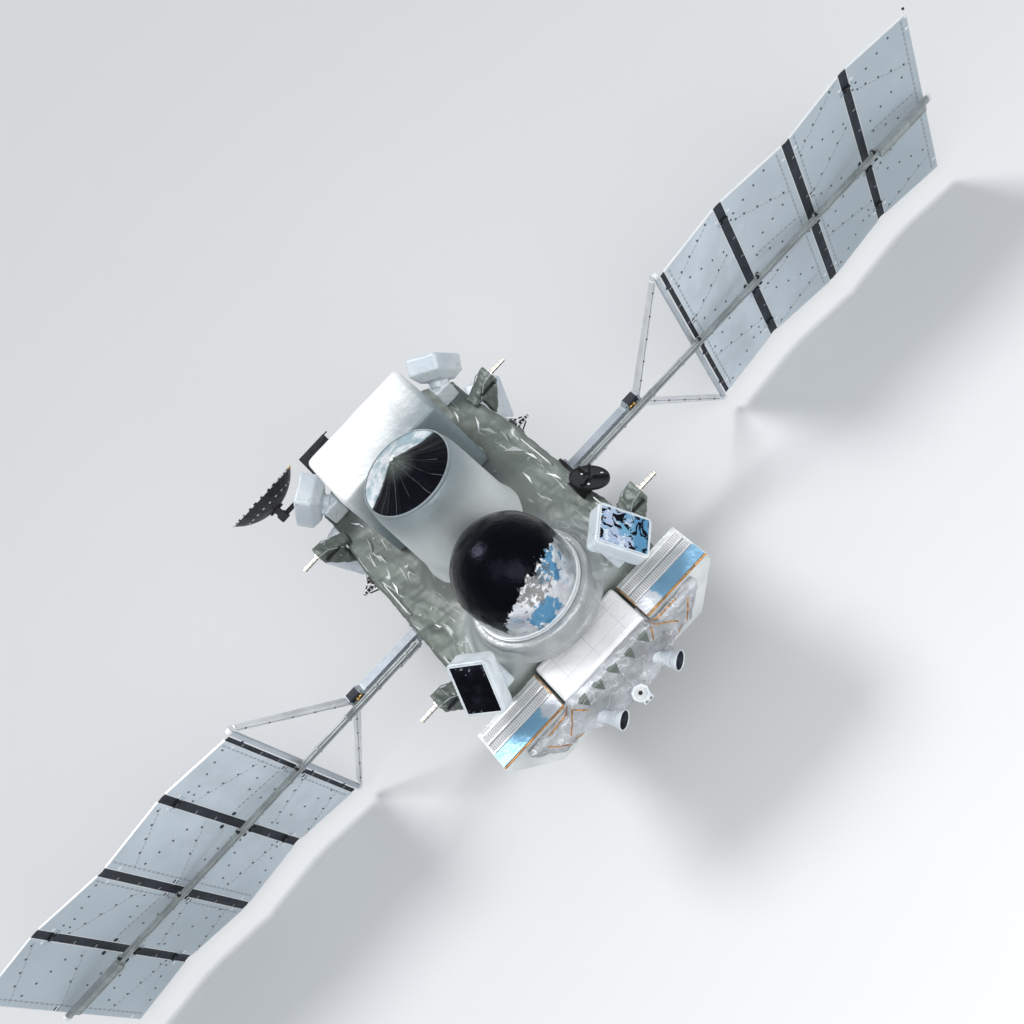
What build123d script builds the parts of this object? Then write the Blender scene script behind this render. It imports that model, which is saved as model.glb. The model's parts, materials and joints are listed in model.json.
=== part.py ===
from build123d import *
import os
from math import cos, degrees, radians, sin

# Gamma-ray observatory satellite, millimetres.
# Origin: midway between the four longeron trunnions, at their height.
# +X aft (thrusters), +Y along the right solar wing, +Z up through the telescope caps.

# ---- platform -------------------------------------------------------------
DECK_Z = -200            # top of the instrument deck
DECK_LOW = -1950         # underside
SIDE_LOW = -1640         # where the side walls turn in
DECK_HALF = 1720         # half-width of the deck behind its flare
NOSE_HALF = DECK_HALF - 100   # half-width at the forward end
FLARE = (-2300, -1300)   # x where the side walls start and stop flaring
KEEL_HALF = 1200         # half-width of the underside
FWD_X = -3400            # forward face
AFT_X = 2620             # aft face
CORNER = 420             # corner cut that makes room for a burst detector
BAY_DEPTH = 45           # depth of the side bays between ribs
RIB = 90                 # width left between two bays
BAYS = 7

# ---- forward instrument cover ------------------------------------------------
COVER_FWD = -2450
COVER_GAP = 170          # from the cover to the drum's foot
COVER_HALF = 1050
COVER_TOP = 1400
COVER_NOSE_R = 320       # rounding of the forward top edge
COVER_EDGE_R = 90

# ---- drum telescope ----------------------------------------------------------
DRUM_X = 180
DRUM_BASE_R, DRUM_SHOULDER_R, DRUM_LIP_R = 860, 800, 745
DRUM_SHOULDER_Z, DRUM_TOP_Z = 1480, 1740
CAP_T, CAP_SINK = 60, 20
CAP_R = DRUM_LIP_R - 30
PEAK, PEAK_R = 360, 24     # height of the cap's peak above its rim, and the button on it
COVER_AFT = DRUM_X - DRUM_BASE_R - COVER_GAP

# ---- dome telescope ----------------------------------------------------------
DOME_R, DOME_WAIST_Z = 840, 700
DOME_GAP = 100           # from the drum's foot to the dome
DOME_X = DRUM_X + DRUM_BASE_R + DOME_GAP + DOME_R
COLLAR_R, COLLAR_TOP, COLLAR_GAP = 985, 190, 1

# ---- burst detectors ---------------------------------------------------------
DET_FACE = (640, 840)           # hood across and up, at its face
DET_BACK = (430, 560)           # the same at its narrow back
DET_WALL, DET_DEPTH = 280, 420  # depth of the straight wall, and of the whole hood
DET_CORNER = 70
DET_STEM_R, DET_STEM = 130, 60  # short stem behind a hood
POST_W = 320                    # square post under an upper detector
NICHE = 1500                    # side of the square niche cut for a lower detector
WINDOW_T, WINDOW_EDGE = 12, 30
# node name: x, y, z of the right-hand face centre, then the senses of its normal along x and z
DETECTORS = {
    "forward_upper": (FWD_X + 400, DECK_HALF - 50, DECK_Z + 630, -1, 1),
    "forward_lower": (FWD_X + 300, DECK_HALF + 210, DECK_LOW + 660, -1, -1),
    "aft_upper": (AFT_X + 180, DECK_HALF - 225, DECK_Z + 640, 1, 1),
    "aft_lower": (AFT_X - 300, DECK_HALF - 360, DECK_LOW + 30, 1, -1),
}

# ---- trunnions (3.25 in longeron pins, 3.0 in keel pin) --------------------------
LONGERON_X, LONGERON_TIP = 2100, 2450
LONGERON_R, LONGERON_LEN = 41.275, 320
ROOT_R, ROOT_LEN = 55, 70       # thicker root that sits in the fitting
SCUFF_R, SCUFF_T = 88, 18       # collar at the foot of the working pin
FITTING_W = 260
LATCH_X, LATCH_Z = (-1250, -1150), -500
KEEL_X, KEEL_R, KEEL_TIP_Z, KEEL_LEN = 900, 38.1, -2770, 300
KEEL_FOOT, KEEL_NECK = 340, 90   # half-widths of the keel block, at the deck and at the pin

# ---- grapple fixture ----------------------------------------------------------
GRAPPLE_AT = (1180, DECK_HALF + 80, DECK_Z + 140)
GRAPPLE_TILT = 34               # lean of its axis from +Z towards +Y
GRAPPLE_R, GRAPPLE_T = 310, 30
GRAPPLE_PIN_R, GRAPPLE_PIN_LEN = 16, 230

# ---- aft modules ---------------------------------------------------------------
MOD_FWD, MOD_AFT = AFT_X, 3400
MOD_IN, MOD_OUT = 850, 2050
MOD_TOP, MOD_LOW = -500, -1350
MOD_CUT = (600, 720)            # corner cut from a module's foot: along its foot, and up its side
LOUVRE_SET = 90                 # louvre frame behind the module's forward edge
LOUVRE_LEN, LOUVRE_T, SLATS = 380, 26, 14
RADIATOR_LEN, RADIATOR_T = 260, 16
BOX_HALF, BOX_TOP = 800, -400
TAIL_AFT = 3560                 # aft face of the thruster bulkhead
TAIL_LOW = -1420
ORBIT_Y, ORBIT_Z = (-600, 540), -1080    # feet of the thruster shrouds
ORBIT_AIM = (0.85, 0.50, -0.12)          # both are canted to the same side
ORBIT_R, ORBIT_THROAT, ORBIT_LEN = 150, 60, 340
POD_Z, POD_R, POD_LEN, POD_TILT = -1270, 140, 190, 35

# ---- solar wings -----------------------------------------------------------------
WING_X, WING_Z = -740, -1570     # array drive axis, parallel to Y
WING_ANGLE = 98.85               # turn of the wing's width axis from +X down towards -Z
DRIVE_R, DRIVE_IN, DRIVE_OUT = 230, DECK_HALF - 220, DECK_HALF + 170
SHAFT_R, SHAFT_CLEAR, SHAFT_IN = 70, 0.3, DECK_HALF - 20
FLANGE_GAP, FLANGE_T, FLANGE_R = 6, 36, 170
BEAM_W, BEAM_T, BEAM_U, BEAM_V = 260, 150, 20, 40
HUB_Y, HUB_LEN, HUB_W = 3400, 330, 400
WINDOW = 170                     # square window through the hub
YOKE_Y, YOKE_HALF = 4878, 1950   # crossbar centre line and half-length
BAR_W, BAR_T, BAR_V = 70, 80, 60
ARM_IN, ARM_OUT, ARM_T = 120, 84, 70
MAST_W, MAST_T, MAST_U, MAST_V = 100, 80, -40, 215
MAST_IN, MAST_OUT = DRIVE_OUT + 100, 10640
MAST_FOOT = 90                   # length of each bracket that carries the mast

PANEL_HALF, PANEL_T = 1870, 28
PANEL_PITCH = 1448.7             # hinge to hinge along a panel
PANEL_GAP = 88.5                 # hinge axis to panel edge
PANEL_LEAN = 6.0                 # zigzag of each panel from flat
HINGE_E = 30                     # hinge axis to panel mid-plane
HINGE_V = 46.2                   # first hinge axis above the wing plane
HINGE_Y = 4942.5                 # first hinge axis
HINGE_U = (-1500, 500, 1500)     # hinge places along a hinge line
PIN_R, KNUCKLE_R, PIN_CLEAR = 7, 17, 0.3
LUG_W, EAR_W, EAR_GAP = 40, 14, 0.5

# ---- high-gain antenna ---------------------------------------------------------------
DISH_R, DISH_DEPTH, DISH_T = 760, 360, 14
DISH_C = (-4450, -2230, 0)       # centre of the rim
DISH_LEAN = 35.8                 # lean of its boresight from +Z towards -X
AXIS_BACK = 540                  # gimbal centre behind the rim plane
ARM_R, ARM_TOP, ARM_LOW, ARM_THICK = 45, -40, -590, 110
ARM_ROOT_Y, ARM_END_Y = -640, -1280
STOW_AXIS = (-720, -430)         # y and z of the hinge that swings the antenna boom
STOW_R, STOW_IN, STOW_OUT = 50, -3600, -4150
STOW_BLOCK = (-3790, 140, 150)   # front face x, half-width, half-height of its bracket
GIMBAL = 160                     # side of the gimbal block
GIMBAL_PIN_R, GIMBAL_GAP, EAR_T = 28, 6, 16
FEED_R, FEED_Z = 90, -40


def outline(points):
    """Face inside a closed run of straight sides."""
    return make_face(Polyline(*points, close=True))


def prism(plane, points, length):
    """Closed outline on a plane, run along its normal."""
    return extrude(plane * outline(points), length)


def block(x0, x1, y0, y1, z0, z1):
    """Box between two opposite corners."""
    return Pos((x0 + x1) / 2, (y0 + y1) / 2, (z0 + z1) / 2) * Box(x1 - x0, y1 - y0, z1 - z0)


def turned(points, centre_x):
    """Solid of revolution about a vertical axis from an (r, z) outline."""
    return Pos(centre_x, 0, 0) * revolve(Plane.XZ * outline(points), Axis.Z)


def both_sides(shape):
    """The right-hand piece and its mirror image on the left."""
    return [shape, mirror(shape, about=Plane.XZ)]


def rod(start, end, radius, end_radius=None):
    """Round bar between two points, tapered if an end radius is given."""
    a, b = Vector(*start), Vector(*end)
    length = (b - a).length
    plane = Plane(origin=a, z_dir=b - a)
    if end_radius is None:
        return extrude(plane * Circle(radius), length)
    return plane.location * (Pos(0, 0, length / 2) * Cone(radius, end_radius, length))


def taper(foot, neck, z_foot, z_neck):
    """Trapezium, symmetric about the vertical, between two half-widths."""
    return [(-foot, z_foot), (-neck, z_neck), (neck, z_neck), (foot, z_foot)]


def wall_at(x):
    """Half-width of the deck at a station."""
    share = (x - FLARE[0]) / (FLARE[1] - FLARE[0])
    return NOSE_HALF + (DECK_HALF - NOSE_HALF) * min(1, max(0, share))


def platform():
    """Deck beam: ribbed side bays, sloped underside, facets that face the lower detectors."""
    wide = DECK_HALF + 400
    section = [(-wide, DECK_Z), (-wide, SIDE_LOW), (-DECK_HALF, SIDE_LOW), (-KEEL_HALF, DECK_LOW),
               (KEEL_HALF, DECK_LOW), (DECK_HALF, SIDE_LOW), (wide, SIDE_LOW), (wide, DECK_Z)]
    plan = [(FWD_X, -NOSE_HALF + CORNER), (FWD_X + CORNER, -NOSE_HALF), (FLARE[0], -NOSE_HALF),
            (FLARE[1], -DECK_HALF), (AFT_X - CORNER, -DECK_HALF), (AFT_X, -DECK_HALF + CORNER)]
    plan += [(x, -y) for x, y in reversed(plan)]
    body = Pos(0, 0, DECK_LOW) * extrude(outline(plan), DECK_Z - DECK_LOW)
    body &= prism(Plane.YZ.offset(FWD_X), section, AFT_X - FWD_X)
    span = (AFT_X - FWD_X - 2 * CORNER) / BAYS
    for i in range(BAYS):
        x = FWD_X + CORNER + (i + 0.5) * span
        if abs(x - WING_X) < span:
            continue
        bay = block(x - span / 2 + RIB / 2, x + span / 2 - RIB / 2, wall_at(x) - BAY_DEPTH, wide,
                    SIDE_LOW + RIB, DECK_Z - RIB)
        for piece in both_sides(bay):
            body -= piece
    for name in ("forward_lower", "aft_lower"):
        behind = DET_DEPTH + 60 + DET_STEM
        facet = detector_plane(*DETECTORS[name]).location * (
            Pos(0, 0, NICHE / 2 - behind) * Box(NICHE, NICHE, NICHE))
        for piece in both_sides(facet):
            body -= piece
    for socket in both_sides(rod((WING_X, DRIVE_IN, WING_Z), (WING_X, wide, WING_Z), DRIVE_R)):
        body -= socket
    return body


def instrument_cover():
    """Forward cover with a rounded nose and a base flange."""
    cover = block(COVER_FWD, COVER_AFT, -COVER_HALF, COVER_HALF, DECK_Z, COVER_TOP)
    nose = cover.edges().filter_by(Axis.Y).sort_by(Axis.Z)[-2:].sort_by(Axis.X)[0]
    cover = fillet(nose, COVER_NOSE_R)
    sides = cover.edges().filter_by(Axis.Z)
    cover = fillet(sides, COVER_EDGE_R)
    return cover


def drum_telescope():
    """Tapered drum with a rounded shoulder and a turned-in lip."""
    lip = DRUM_TOP_Z - CAP_SINK
    return turned([(0, DECK_Z), (DRUM_BASE_R, DECK_Z), (DRUM_SHOULDER_R, DRUM_SHOULDER_Z),
                   (DRUM_SHOULDER_R - 12, DRUM_SHOULDER_Z + 110), (DRUM_LIP_R, DRUM_TOP_Z),
                   (CAP_R + 4, DRUM_TOP_Z), (CAP_R + 4, lip), (0, lip)], DRUM_X)


def drum_cap():
    """Taut film cap, drawn up from the drum's lip to a peak like a tent."""
    low = DRUM_TOP_Z - CAP_SINK
    rim = low + CAP_T
    return turned([(0, low), (CAP_R, low), (CAP_R, rim), (PEAK_R, rim + PEAK), (PEAK_R, rim + PEAK + 12),
                   (0, rim + PEAK + 12)], DRUM_X)


def dome_telescope():
    """Cylinder that closes in a rounded dome."""
    side = Line((DOME_R, DECK_Z), (DOME_R, DOME_WAIST_Z))
    crown = CenterArc((0, DOME_WAIST_Z), DOME_R, start_angle=0, arc_size=90)
    spine = Line((0, DOME_WAIST_Z + DOME_R), (0, DECK_Z))
    foot = Line((0, DECK_Z), (DOME_R, DECK_Z))
    face = make_face(side + crown + spine + foot)
    return Pos(DOME_X, 0, 0) * revolve(Plane.XZ * face, Axis.Z)


def dome_collar():
    """Ring that carries the dome on the deck, relieved beside the drum."""
    inner = DOME_R + COLLAR_GAP
    ring = turned([(inner, DECK_Z), (COLLAR_R + 60, DECK_Z), (COLLAR_R, DECK_Z + 130),
                   (COLLAR_R, COLLAR_TOP - 40), (COLLAR_R - 40, COLLAR_TOP), (inner, COLLAR_TOP)], DOME_X)
    beside = Pos(DRUM_X, 0, (DECK_Z + COLLAR_TOP) / 2) * Cylinder(DRUM_BASE_R + 4, COLLAR_TOP - DECK_Z + 2)
    return ring - beside


def detector_plane(x, y, z, fore, up):
    """Plane on a right-hand detector's face, its z axis the outward diagonal."""
    normal = Vector(fore, 1, up).normalized()
    level = normal.cross(Vector(0, 0, 1)).normalized()
    return Plane(origin=(x, y, z), x_dir=level, z_dir=normal)


def detector_opening(gap):
    """Outline of the recess in a hood's face, drawn in by a gap."""
    inset = 2 * (WINDOW_EDGE + gap)
    return RectangleRounded(DET_FACE[0] - inset, DET_FACE[1] - inset, DET_CORNER - WINDOW_EDGE - gap)


def detector(name):
    """Deep hood with rounded corners that narrows behind its window, on a stem from the platform."""
    x, y, z, fore, up = DETECTORS[name]
    plane = detector_plane(x, y, z, fore, up)
    front = RectangleRounded(*DET_FACE, DET_CORNER)
    hood = Pos(0, 0, -DET_WALL) * extrude(front, DET_WALL)
    narrow = RectangleRounded(*DET_BACK, DET_CORNER)
    hood += loft([Pos(0, 0, -DET_WALL) * front, Pos(0, 0, -DET_DEPTH) * narrow])
    hood -= Pos(0, 0, -WINDOW_T) * extrude(detector_opening(0), WINDOW_T)
    hood += Pos(0, 0, -DET_DEPTH - 60 - DET_STEM) * extrude(Circle(DET_STEM_R), 60 + DET_STEM)
    whole = plane.location * hood
    if up > 0:
        back = Vector(x, y, z) - plane.z_dir * (DET_DEPTH + 60)
        whole += block(back.X - POST_W / 2, back.X + POST_W / 2, back.Y - POST_W / 2, back.Y + POST_W / 2,
                       DECK_Z, back.Z)
    return whole


def detector_window(name):
    """Mirror-like sheet that lies in a hood's recess."""
    plane = detector_plane(*DETECTORS[name])
    return plane.location * (Pos(0, 0, -WINDOW_T) * extrude(detector_opening(2), WINDOW_T))


def longeron_trunnion(x):
    """Right-hand pin with its collar, and the thicker root that sits in the side fitting."""
    shoulder = LONGERON_TIP - LONGERON_LEN
    seat = shoulder - SCUFF_T
    pin = rod((x, seat - ROOT_LEN, 0), (x, seat, 0), ROOT_R)
    pin += rod((x, seat, 0), (x, shoulder, 0), SCUFF_R)
    return pin + rod((x, shoulder, 0), (x, LONGERON_TIP, 0), LONGERON_R)


def trunnion_fitting(x):
    """Tapered side fitting that carries a longeron pin above the deck edge."""
    face = LONGERON_TIP - LONGERON_LEN - SCUFF_T
    root = NOSE_HALF - 90
    side = [(root, DECK_Z), (root, -120), (face - 60, 110), (face, 110), (face, -110), (DECK_HALF + 120, -520),
            (DECK_HALF, -640), (DECK_HALF, DECK_Z)]
    fitting = prism(Plane.YZ.offset(x - FITTING_W / 2), side, FITTING_W)
    return fitting - rod((x, face - ROOT_LEN, 0), (x, face + 10, 0), ROOT_R)


def keel_trunnion():
    """Keel pin under a tapered tripod block."""
    low = KEEL_TIP_Z + KEEL_LEN
    front = prism(Plane.YZ.offset(KEEL_X - KEEL_FOOT), taper(KEEL_FOOT, KEEL_NECK, DECK_LOW, low), 2 * KEEL_FOOT)
    side = prism(Plane.XZ.offset(-KEEL_FOOT), taper(KEEL_FOOT, KEEL_NECK, DECK_LOW, low), 2 * KEEL_FOOT)
    tripod = front & Pos(KEEL_X, 0, 0) * side
    return tripod + rod((KEEL_X, 0, low + 20), (KEEL_X, 0, KEEL_TIP_Z), KEEL_R)


def grapple_plane():
    """Plane on the grapple plate, its z axis out along the pin."""
    return Plane(origin=GRAPPLE_AT, x_dir=(1, 0, 0),
                 z_dir=(0, sin(radians(GRAPPLE_TILT)), cos(radians(GRAPPLE_TILT))))


def grapple_fixture():
    """Round plate with its grapple pin, knob and three cam arms."""
    plate = Cylinder(GRAPPLE_R, GRAPPLE_T)
    plate += Pos(0, 0, GRAPPLE_PIN_LEN / 2) * Cylinder(GRAPPLE_PIN_R, GRAPPLE_PIN_LEN)
    plate += Pos(0, 0, GRAPPLE_PIN_LEN) * Sphere(GRAPPLE_PIN_R * 1.6)
    for i in range(3):
        arm = Rot(0, 0, 60 + 120 * i) * Pos(GRAPPLE_R * 0.55, 0, 35) * Box(GRAPPLE_R * 0.7, 34, 60)
        plate += arm
    return grapple_plane().location * plate


def grapple_bracket():
    """Wedge from the deck edge up to the underside of the grapple plate."""
    x, y, z = GRAPPLE_AT
    wedge = block(x - 90, x + 90, DECK_HALF - 210, DECK_HALF - 10, DECK_Z, z + 300)
    above = Pos(0, 0, 500 - GRAPPLE_T / 2) * Box(1000, 1000, 1000)
    return wedge - grapple_plane().location * above


def module():
    """Right-hand equipment module, its outer foot cut away."""
    side = [(MOD_IN, MOD_TOP), (MOD_OUT, MOD_TOP), (MOD_OUT, MOD_LOW + MOD_CUT[1]),
            (MOD_OUT - MOD_CUT[0], MOD_LOW), (MOD_IN, MOD_LOW)]
    return prism(Plane.YZ.offset(MOD_FWD), side, MOD_AFT - MOD_FWD)


def louvre():
    """Right-hand louvre frame with two rows of blades."""
    width = MOD_OUT - MOD_IN - 60
    x0 = MOD_FWD + LOUVRE_SET
    frame = block(x0, x0 + LOUVRE_LEN, MOD_IN + 30, MOD_OUT - 30, MOD_TOP, MOD_TOP + 10)
    pitch = width / SLATS
    for row in range(2):
        for i in range(SLATS):
            y = MOD_IN + 30 + (i + 0.5) * pitch
            x = x0 + 20 + row * LOUVRE_LEN / 2
            frame += block(x, x + LOUVRE_LEN / 2 - 40, y - pitch * 0.34, y + pitch * 0.34,
                           MOD_TOP + 10, MOD_TOP + LOUVRE_T)
    return frame


def radiator():
    """Right-hand radiator strip beside the louvres."""
    x0 = MOD_FWD + LOUVRE_SET + LOUVRE_LEN + 10
    return block(x0, x0 + RADIATOR_LEN, MOD_IN + 10, MOD_OUT - 10, MOD_TOP, MOD_TOP + RADIATOR_T)


def aft_box():
    """Blanketed equipment box between the two modules."""
    box = block(MOD_FWD, MOD_AFT, -BOX_HALF, BOX_HALF, MOD_LOW, BOX_TOP)
    return fillet(box.edges().filter_by(Axis.X).sort_by(Axis.Z)[-2:], 60)


def aft_bulkhead():
    """Thruster bulkhead behind the modules, its edge cut in facets."""
    half = [(0, -430), (780, -430), (900, -560), (1690, -560), (1300, TAIL_LOW + 360), (920, TAIL_LOW + 340),
            (640, TAIL_LOW), (0, TAIL_LOW)]
    ring = half + [(-y, z) for y, z in reversed(half[1:-1])]
    return prism(Plane.YZ.offset(MOD_AFT), ring, TAIL_AFT - MOD_AFT)


def behind_tail(piece):
    """The part of a piece that stands aft of the bulkhead."""
    return piece - block(TAIL_AFT - 1000, TAIL_AFT, -MOD_OUT, MOD_OUT, 2 * TAIL_LOW, 0)


def orbit_thruster(y):
    """Flared shroud with an open mouth, canted to one side."""
    wall = [(ORBIT_THROAT + 30, -60), (ORBIT_THROAT + 20, 90), (ORBIT_R, ORBIT_LEN), (ORBIT_R - 12, ORBIT_LEN),
            (ORBIT_THROAT, 100), (0, 100), (0, -60)]
    shroud = Plane(origin=(TAIL_AFT, y, ORBIT_Z), z_dir=ORBIT_AIM).location * revolve(
        Plane.XZ * outline(wall), Axis.Z)
    return behind_tail(shroud)


def thruster_pod():
    """Attitude pod: an eight-sided lid on a drum, tipped up, with a square nozzle block below it."""
    tip = radians(POD_TILT)
    lid = Plane(origin=(TAIL_AFT, 0, POD_Z), z_dir=(cos(tip), 0, sin(tip)))
    pod = lid.location * extrude(RegularPolygon(POD_R, 8), POD_LEN)
    pod += block(TAIL_AFT, TAIL_AFT + 210, -80, 100, POD_Z - 130, POD_Z - 20)
    return behind_tail(pod)


def side_latch(x, half, z):
    """Side fitting with a long pin that held the folded wing."""
    foot = block(x - 90, x + 90, half, half + 60, z - 140, z + 140)
    return foot + rod((x, half + 60, z), (x, half + 300, z), 34, 22)


def array_drive():
    """Right-hand drive housing with a running bore for the wing shaft."""
    drive = rod((WING_X, DRIVE_IN, WING_Z), (WING_X, DRIVE_OUT, WING_Z), DRIVE_R)
    drive += block(WING_X - 300, WING_X + 300, DECK_HALF, DECK_HALF + 60, WING_Z - 260, WING_Z + 300)
    drive -= rod((WING_X, SHAFT_IN, WING_Z), (WING_X, DRIVE_OUT + 1, WING_Z), SHAFT_R + SHAFT_CLEAR)
    return drive


def wing_plane():
    """Wing plane of the right wing: x across (u), y outward, z towards the mast side (v)."""
    a = radians(WING_ANGLE)
    return Plane(origin=(WING_X, 0, WING_Z), x_dir=(cos(a), 0, -sin(a)), z_dir=(sin(a), 0, cos(a)))


def wing_beam():
    """Boom beam with its shaft and flange, and the hub with its window."""
    shaft = Plane.XZ.offset(-SHAFT_IN - 20) * Circle(SHAFT_R)
    beam = extrude(shaft, -(DRIVE_OUT + FLANGE_GAP - SHAFT_IN))
    flange = Plane.XZ.offset(-DRIVE_OUT - FLANGE_GAP) * Circle(FLANGE_R)
    beam += extrude(flange, -FLANGE_T)
    y0 = DRIVE_OUT + FLANGE_GAP + FLANGE_T
    beam += block(BEAM_U - BEAM_W / 2, BEAM_U + BEAM_W / 2, y0, HUB_Y - HUB_LEN / 2,
                  BEAM_V - BEAM_T / 2, BEAM_V + BEAM_T / 2)
    hub = block(BEAM_U - HUB_W / 2, BEAM_U + HUB_W / 2, HUB_Y - HUB_LEN / 2, HUB_Y + HUB_LEN / 2,
                BEAM_V - BEAM_T / 2, BEAM_V + BEAM_T / 2)
    hub = chamfer(hub.edges().filter_by(Axis.Z).sort_by(Axis.Y)[:2], 70)
    hub -= block(BEAM_U - WINDOW / 2, BEAM_U + WINDOW / 2, HUB_Y - WINDOW / 2 - 30, HUB_Y + WINDOW / 2 - 30,
                 BEAM_V - BEAM_T, BEAM_V + BEAM_T)
    return beam + hub


def yoke_arm(side):
    """Tapered arm from the hub to one end of the crossbar."""
    y0, y1 = HUB_Y + HUB_LEN / 2, YOKE_Y - BAR_W / 2
    u0, u1 = BEAM_U + side * (HUB_W / 2 - ARM_IN / 2), side * (YOKE_HALF - ARM_OUT / 2)
    edges = [(u0 - ARM_IN / 2, y0), (u0 + ARM_IN / 2, y0), (u1 + ARM_OUT / 2, y1), (u1 - ARM_OUT / 2, y1)]
    return prism(Plane.XY.offset(BEAM_V - ARM_T / 2), edges, ARM_T)


def ear(u, width, root, side, hole):
    """Hinge leaf on an axis at the origin: a rounded end and a strap back to a root."""
    strap = [(0, -KNUCKLE_R * 0.5), (root, -KNUCKLE_R * 0.5), (root, HINGE_E - PANEL_T / 2),
             (0, HINGE_E - PANEL_T / 2)]
    strap = [(y, side * z) for y, z in strap]
    leaf = prism(Plane.YZ.offset(u - width / 2), strap, width)
    leaf += extrude(Plane.YZ.offset(u - width / 2) * Circle(KNUCKLE_R), width)
    if hole:
        leaf -= extrude(Plane.YZ.offset(u - width / 2) * Circle(PIN_R + PIN_CLEAR), width)
    return leaf


def fork(root, side):
    """Two ears and a pin at each hinge place, the axis at the origin, straps back to a root."""
    ears = []
    span = LUG_W + 2 * EAR_GAP + 2 * EAR_W
    for u in HINGE_U:
        for way in (-1, 1):
            ears.append(ear(u + way * (LUG_W / 2 + EAR_GAP + EAR_W / 2), EAR_W, root, side, False))
        ears.append(extrude(Plane.YZ.offset(u - span / 2) * Circle(PIN_R), span))
    return ears


def crossbar():
    """Crossbar with the fork ears of the first hinge line."""
    bar = block(-YOKE_HALF, YOKE_HALF, YOKE_Y - BAR_W / 2, YOKE_Y + BAR_W / 2, BAR_V - BAR_T / 2,
                BAR_V + BAR_T / 2)
    for piece in fork(YOKE_Y - HINGE_Y, 1):
        bar += Pos(0, HINGE_Y, HINGE_V) * piece
    return bar


def mast():
    """Rail along the wing with the feet that carry it and its tip fitting."""
    top = MAST_V - MAST_T / 2
    rail = block(MAST_U - MAST_W / 2, MAST_U + MAST_W / 2, MAST_IN, MAST_OUT, top, top + MAST_T)
    for y in (MAST_IN + 120, HUB_Y + 60):
        rail += block(MAST_U - 30, MAST_U + 30, y - MAST_FOOT / 2, y + MAST_FOOT / 2, BEAM_V + BEAM_T / 2, top)
    rail += block(MAST_U - 30, MAST_U + 30, YOKE_Y - 30, YOKE_Y + 30, BAR_V + BAR_T / 2, top)
    rail += block(MAST_U - 80, MAST_U + 80, MAST_OUT - 1300, MAST_OUT - 180, top + 10, top + MAST_T + 50)
    return rail


def panel_places():
    """Hinge axis (y, v) and lean of each panel at rest, from the crossbar outward."""
    y, v = HINGE_Y, HINGE_V
    places = []
    for i in range(4):
        side = 1 if i % 2 == 0 else -1
        lean = radians(-side * PANEL_LEAN)
        places.append((y, v, degrees(lean), side))
        y, v = (y + PANEL_PITCH * cos(lean) - 2 * side * HINGE_E * sin(lean),
                v + PANEL_PITCH * sin(lean) + 2 * side * HINGE_E * cos(lean))
    return places


def panel(index):
    """Solar panel on its inner hinge axis, with lugs inboard and a fork outboard."""
    y, v, lean, side = panel_places()[index]
    far = PANEL_PITCH - PANEL_GAP
    mid = side * HINGE_E
    plate = block(-PANEL_HALF, PANEL_HALF, PANEL_GAP, far, mid - PANEL_T / 2, mid + PANEL_T / 2)
    for u in HINGE_U:
        plate += ear(u, LUG_W, PANEL_GAP + 60, side, True)
    if index < 3:
        for piece in fork(-PANEL_GAP - 60, -side):
            plate += Pos(0, PANEL_PITCH, 2 * mid) * piece
    return Pos(0, y, v) * Rot(lean, 0, 0) * plate


def antenna_plane():
    """Rim plane of the dish: z along the boresight, y along +Y."""
    a = radians(DISH_LEAN)
    return Plane(origin=DISH_C, x_dir=(cos(a), 0, sin(a)), z_dir=(-sin(a), 0, cos(a)))


def dish():
    """Thin bowl with a back pad and two clevis ears."""
    curve = (DISH_R ** 2 + DISH_DEPTH ** 2) / (2 * DISH_DEPTH)
    centre = curve - DISH_DEPTH
    bowl = Pos(0, 0, centre) * (Sphere(curve) - Sphere(curve - DISH_T))
    bowl &= Pos(0, 0, -DISH_DEPTH) * Cylinder(DISH_R, 2 * DISH_DEPTH)
    bowl += Pos(0, 0, -DISH_DEPTH - 12) * Cylinder(150, 40)
    for way in (-1, 1):
        x = way * (GIMBAL / 2 + GIMBAL_GAP + EAR_T / 2)
        leaf = Pos(x, 0, (-AXIS_BACK - DISH_DEPTH) / 2) * Box(EAR_T, 110, AXIS_BACK - DISH_DEPTH)
        leaf += Pos(x, 0, -AXIS_BACK) * Rot(0, 90, 0) * Cylinder(55, EAR_T)
        leaf -= Pos(x, 0, -AXIS_BACK) * Rot(0, 90, 0) * Cylinder(GIMBAL_PIN_R + PIN_CLEAR, EAR_T + 1)
        bowl += leaf
    return antenna_plane().location * bowl


def antenna_feed():
    """Feed tower on the bowl's floor with its small reflector."""
    foot = -DISH_DEPTH + DISH_T + 2.2
    tower = turned([(0, foot), (60, foot), (34, foot + 120), (34, FEED_Z - 30), (FEED_R, FEED_Z),
                    (FEED_R, FEED_Z + 12), (0, FEED_Z + 12)], 0)
    return antenna_plane().location * tower


def antenna_gimbal():
    """Gimbal block with its cross pin, bored for the boom's shaft."""
    body = chamfer(Box(GIMBAL, GIMBAL + 20, GIMBAL).edges(), 18)
    body += Rot(0, 90, 0) * Cylinder(GIMBAL_PIN_R, GIMBAL + 2 * (GIMBAL_GAP + EAR_T))
    body -= Pos(0, GIMBAL / 2, 0) * Rot(90, 0, 0) * Cylinder(GIMBAL_PIN_R + PIN_CLEAR, 100)
    return antenna_plane().location * (Pos(0, 0, -AXIS_BACK) * body)


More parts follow.
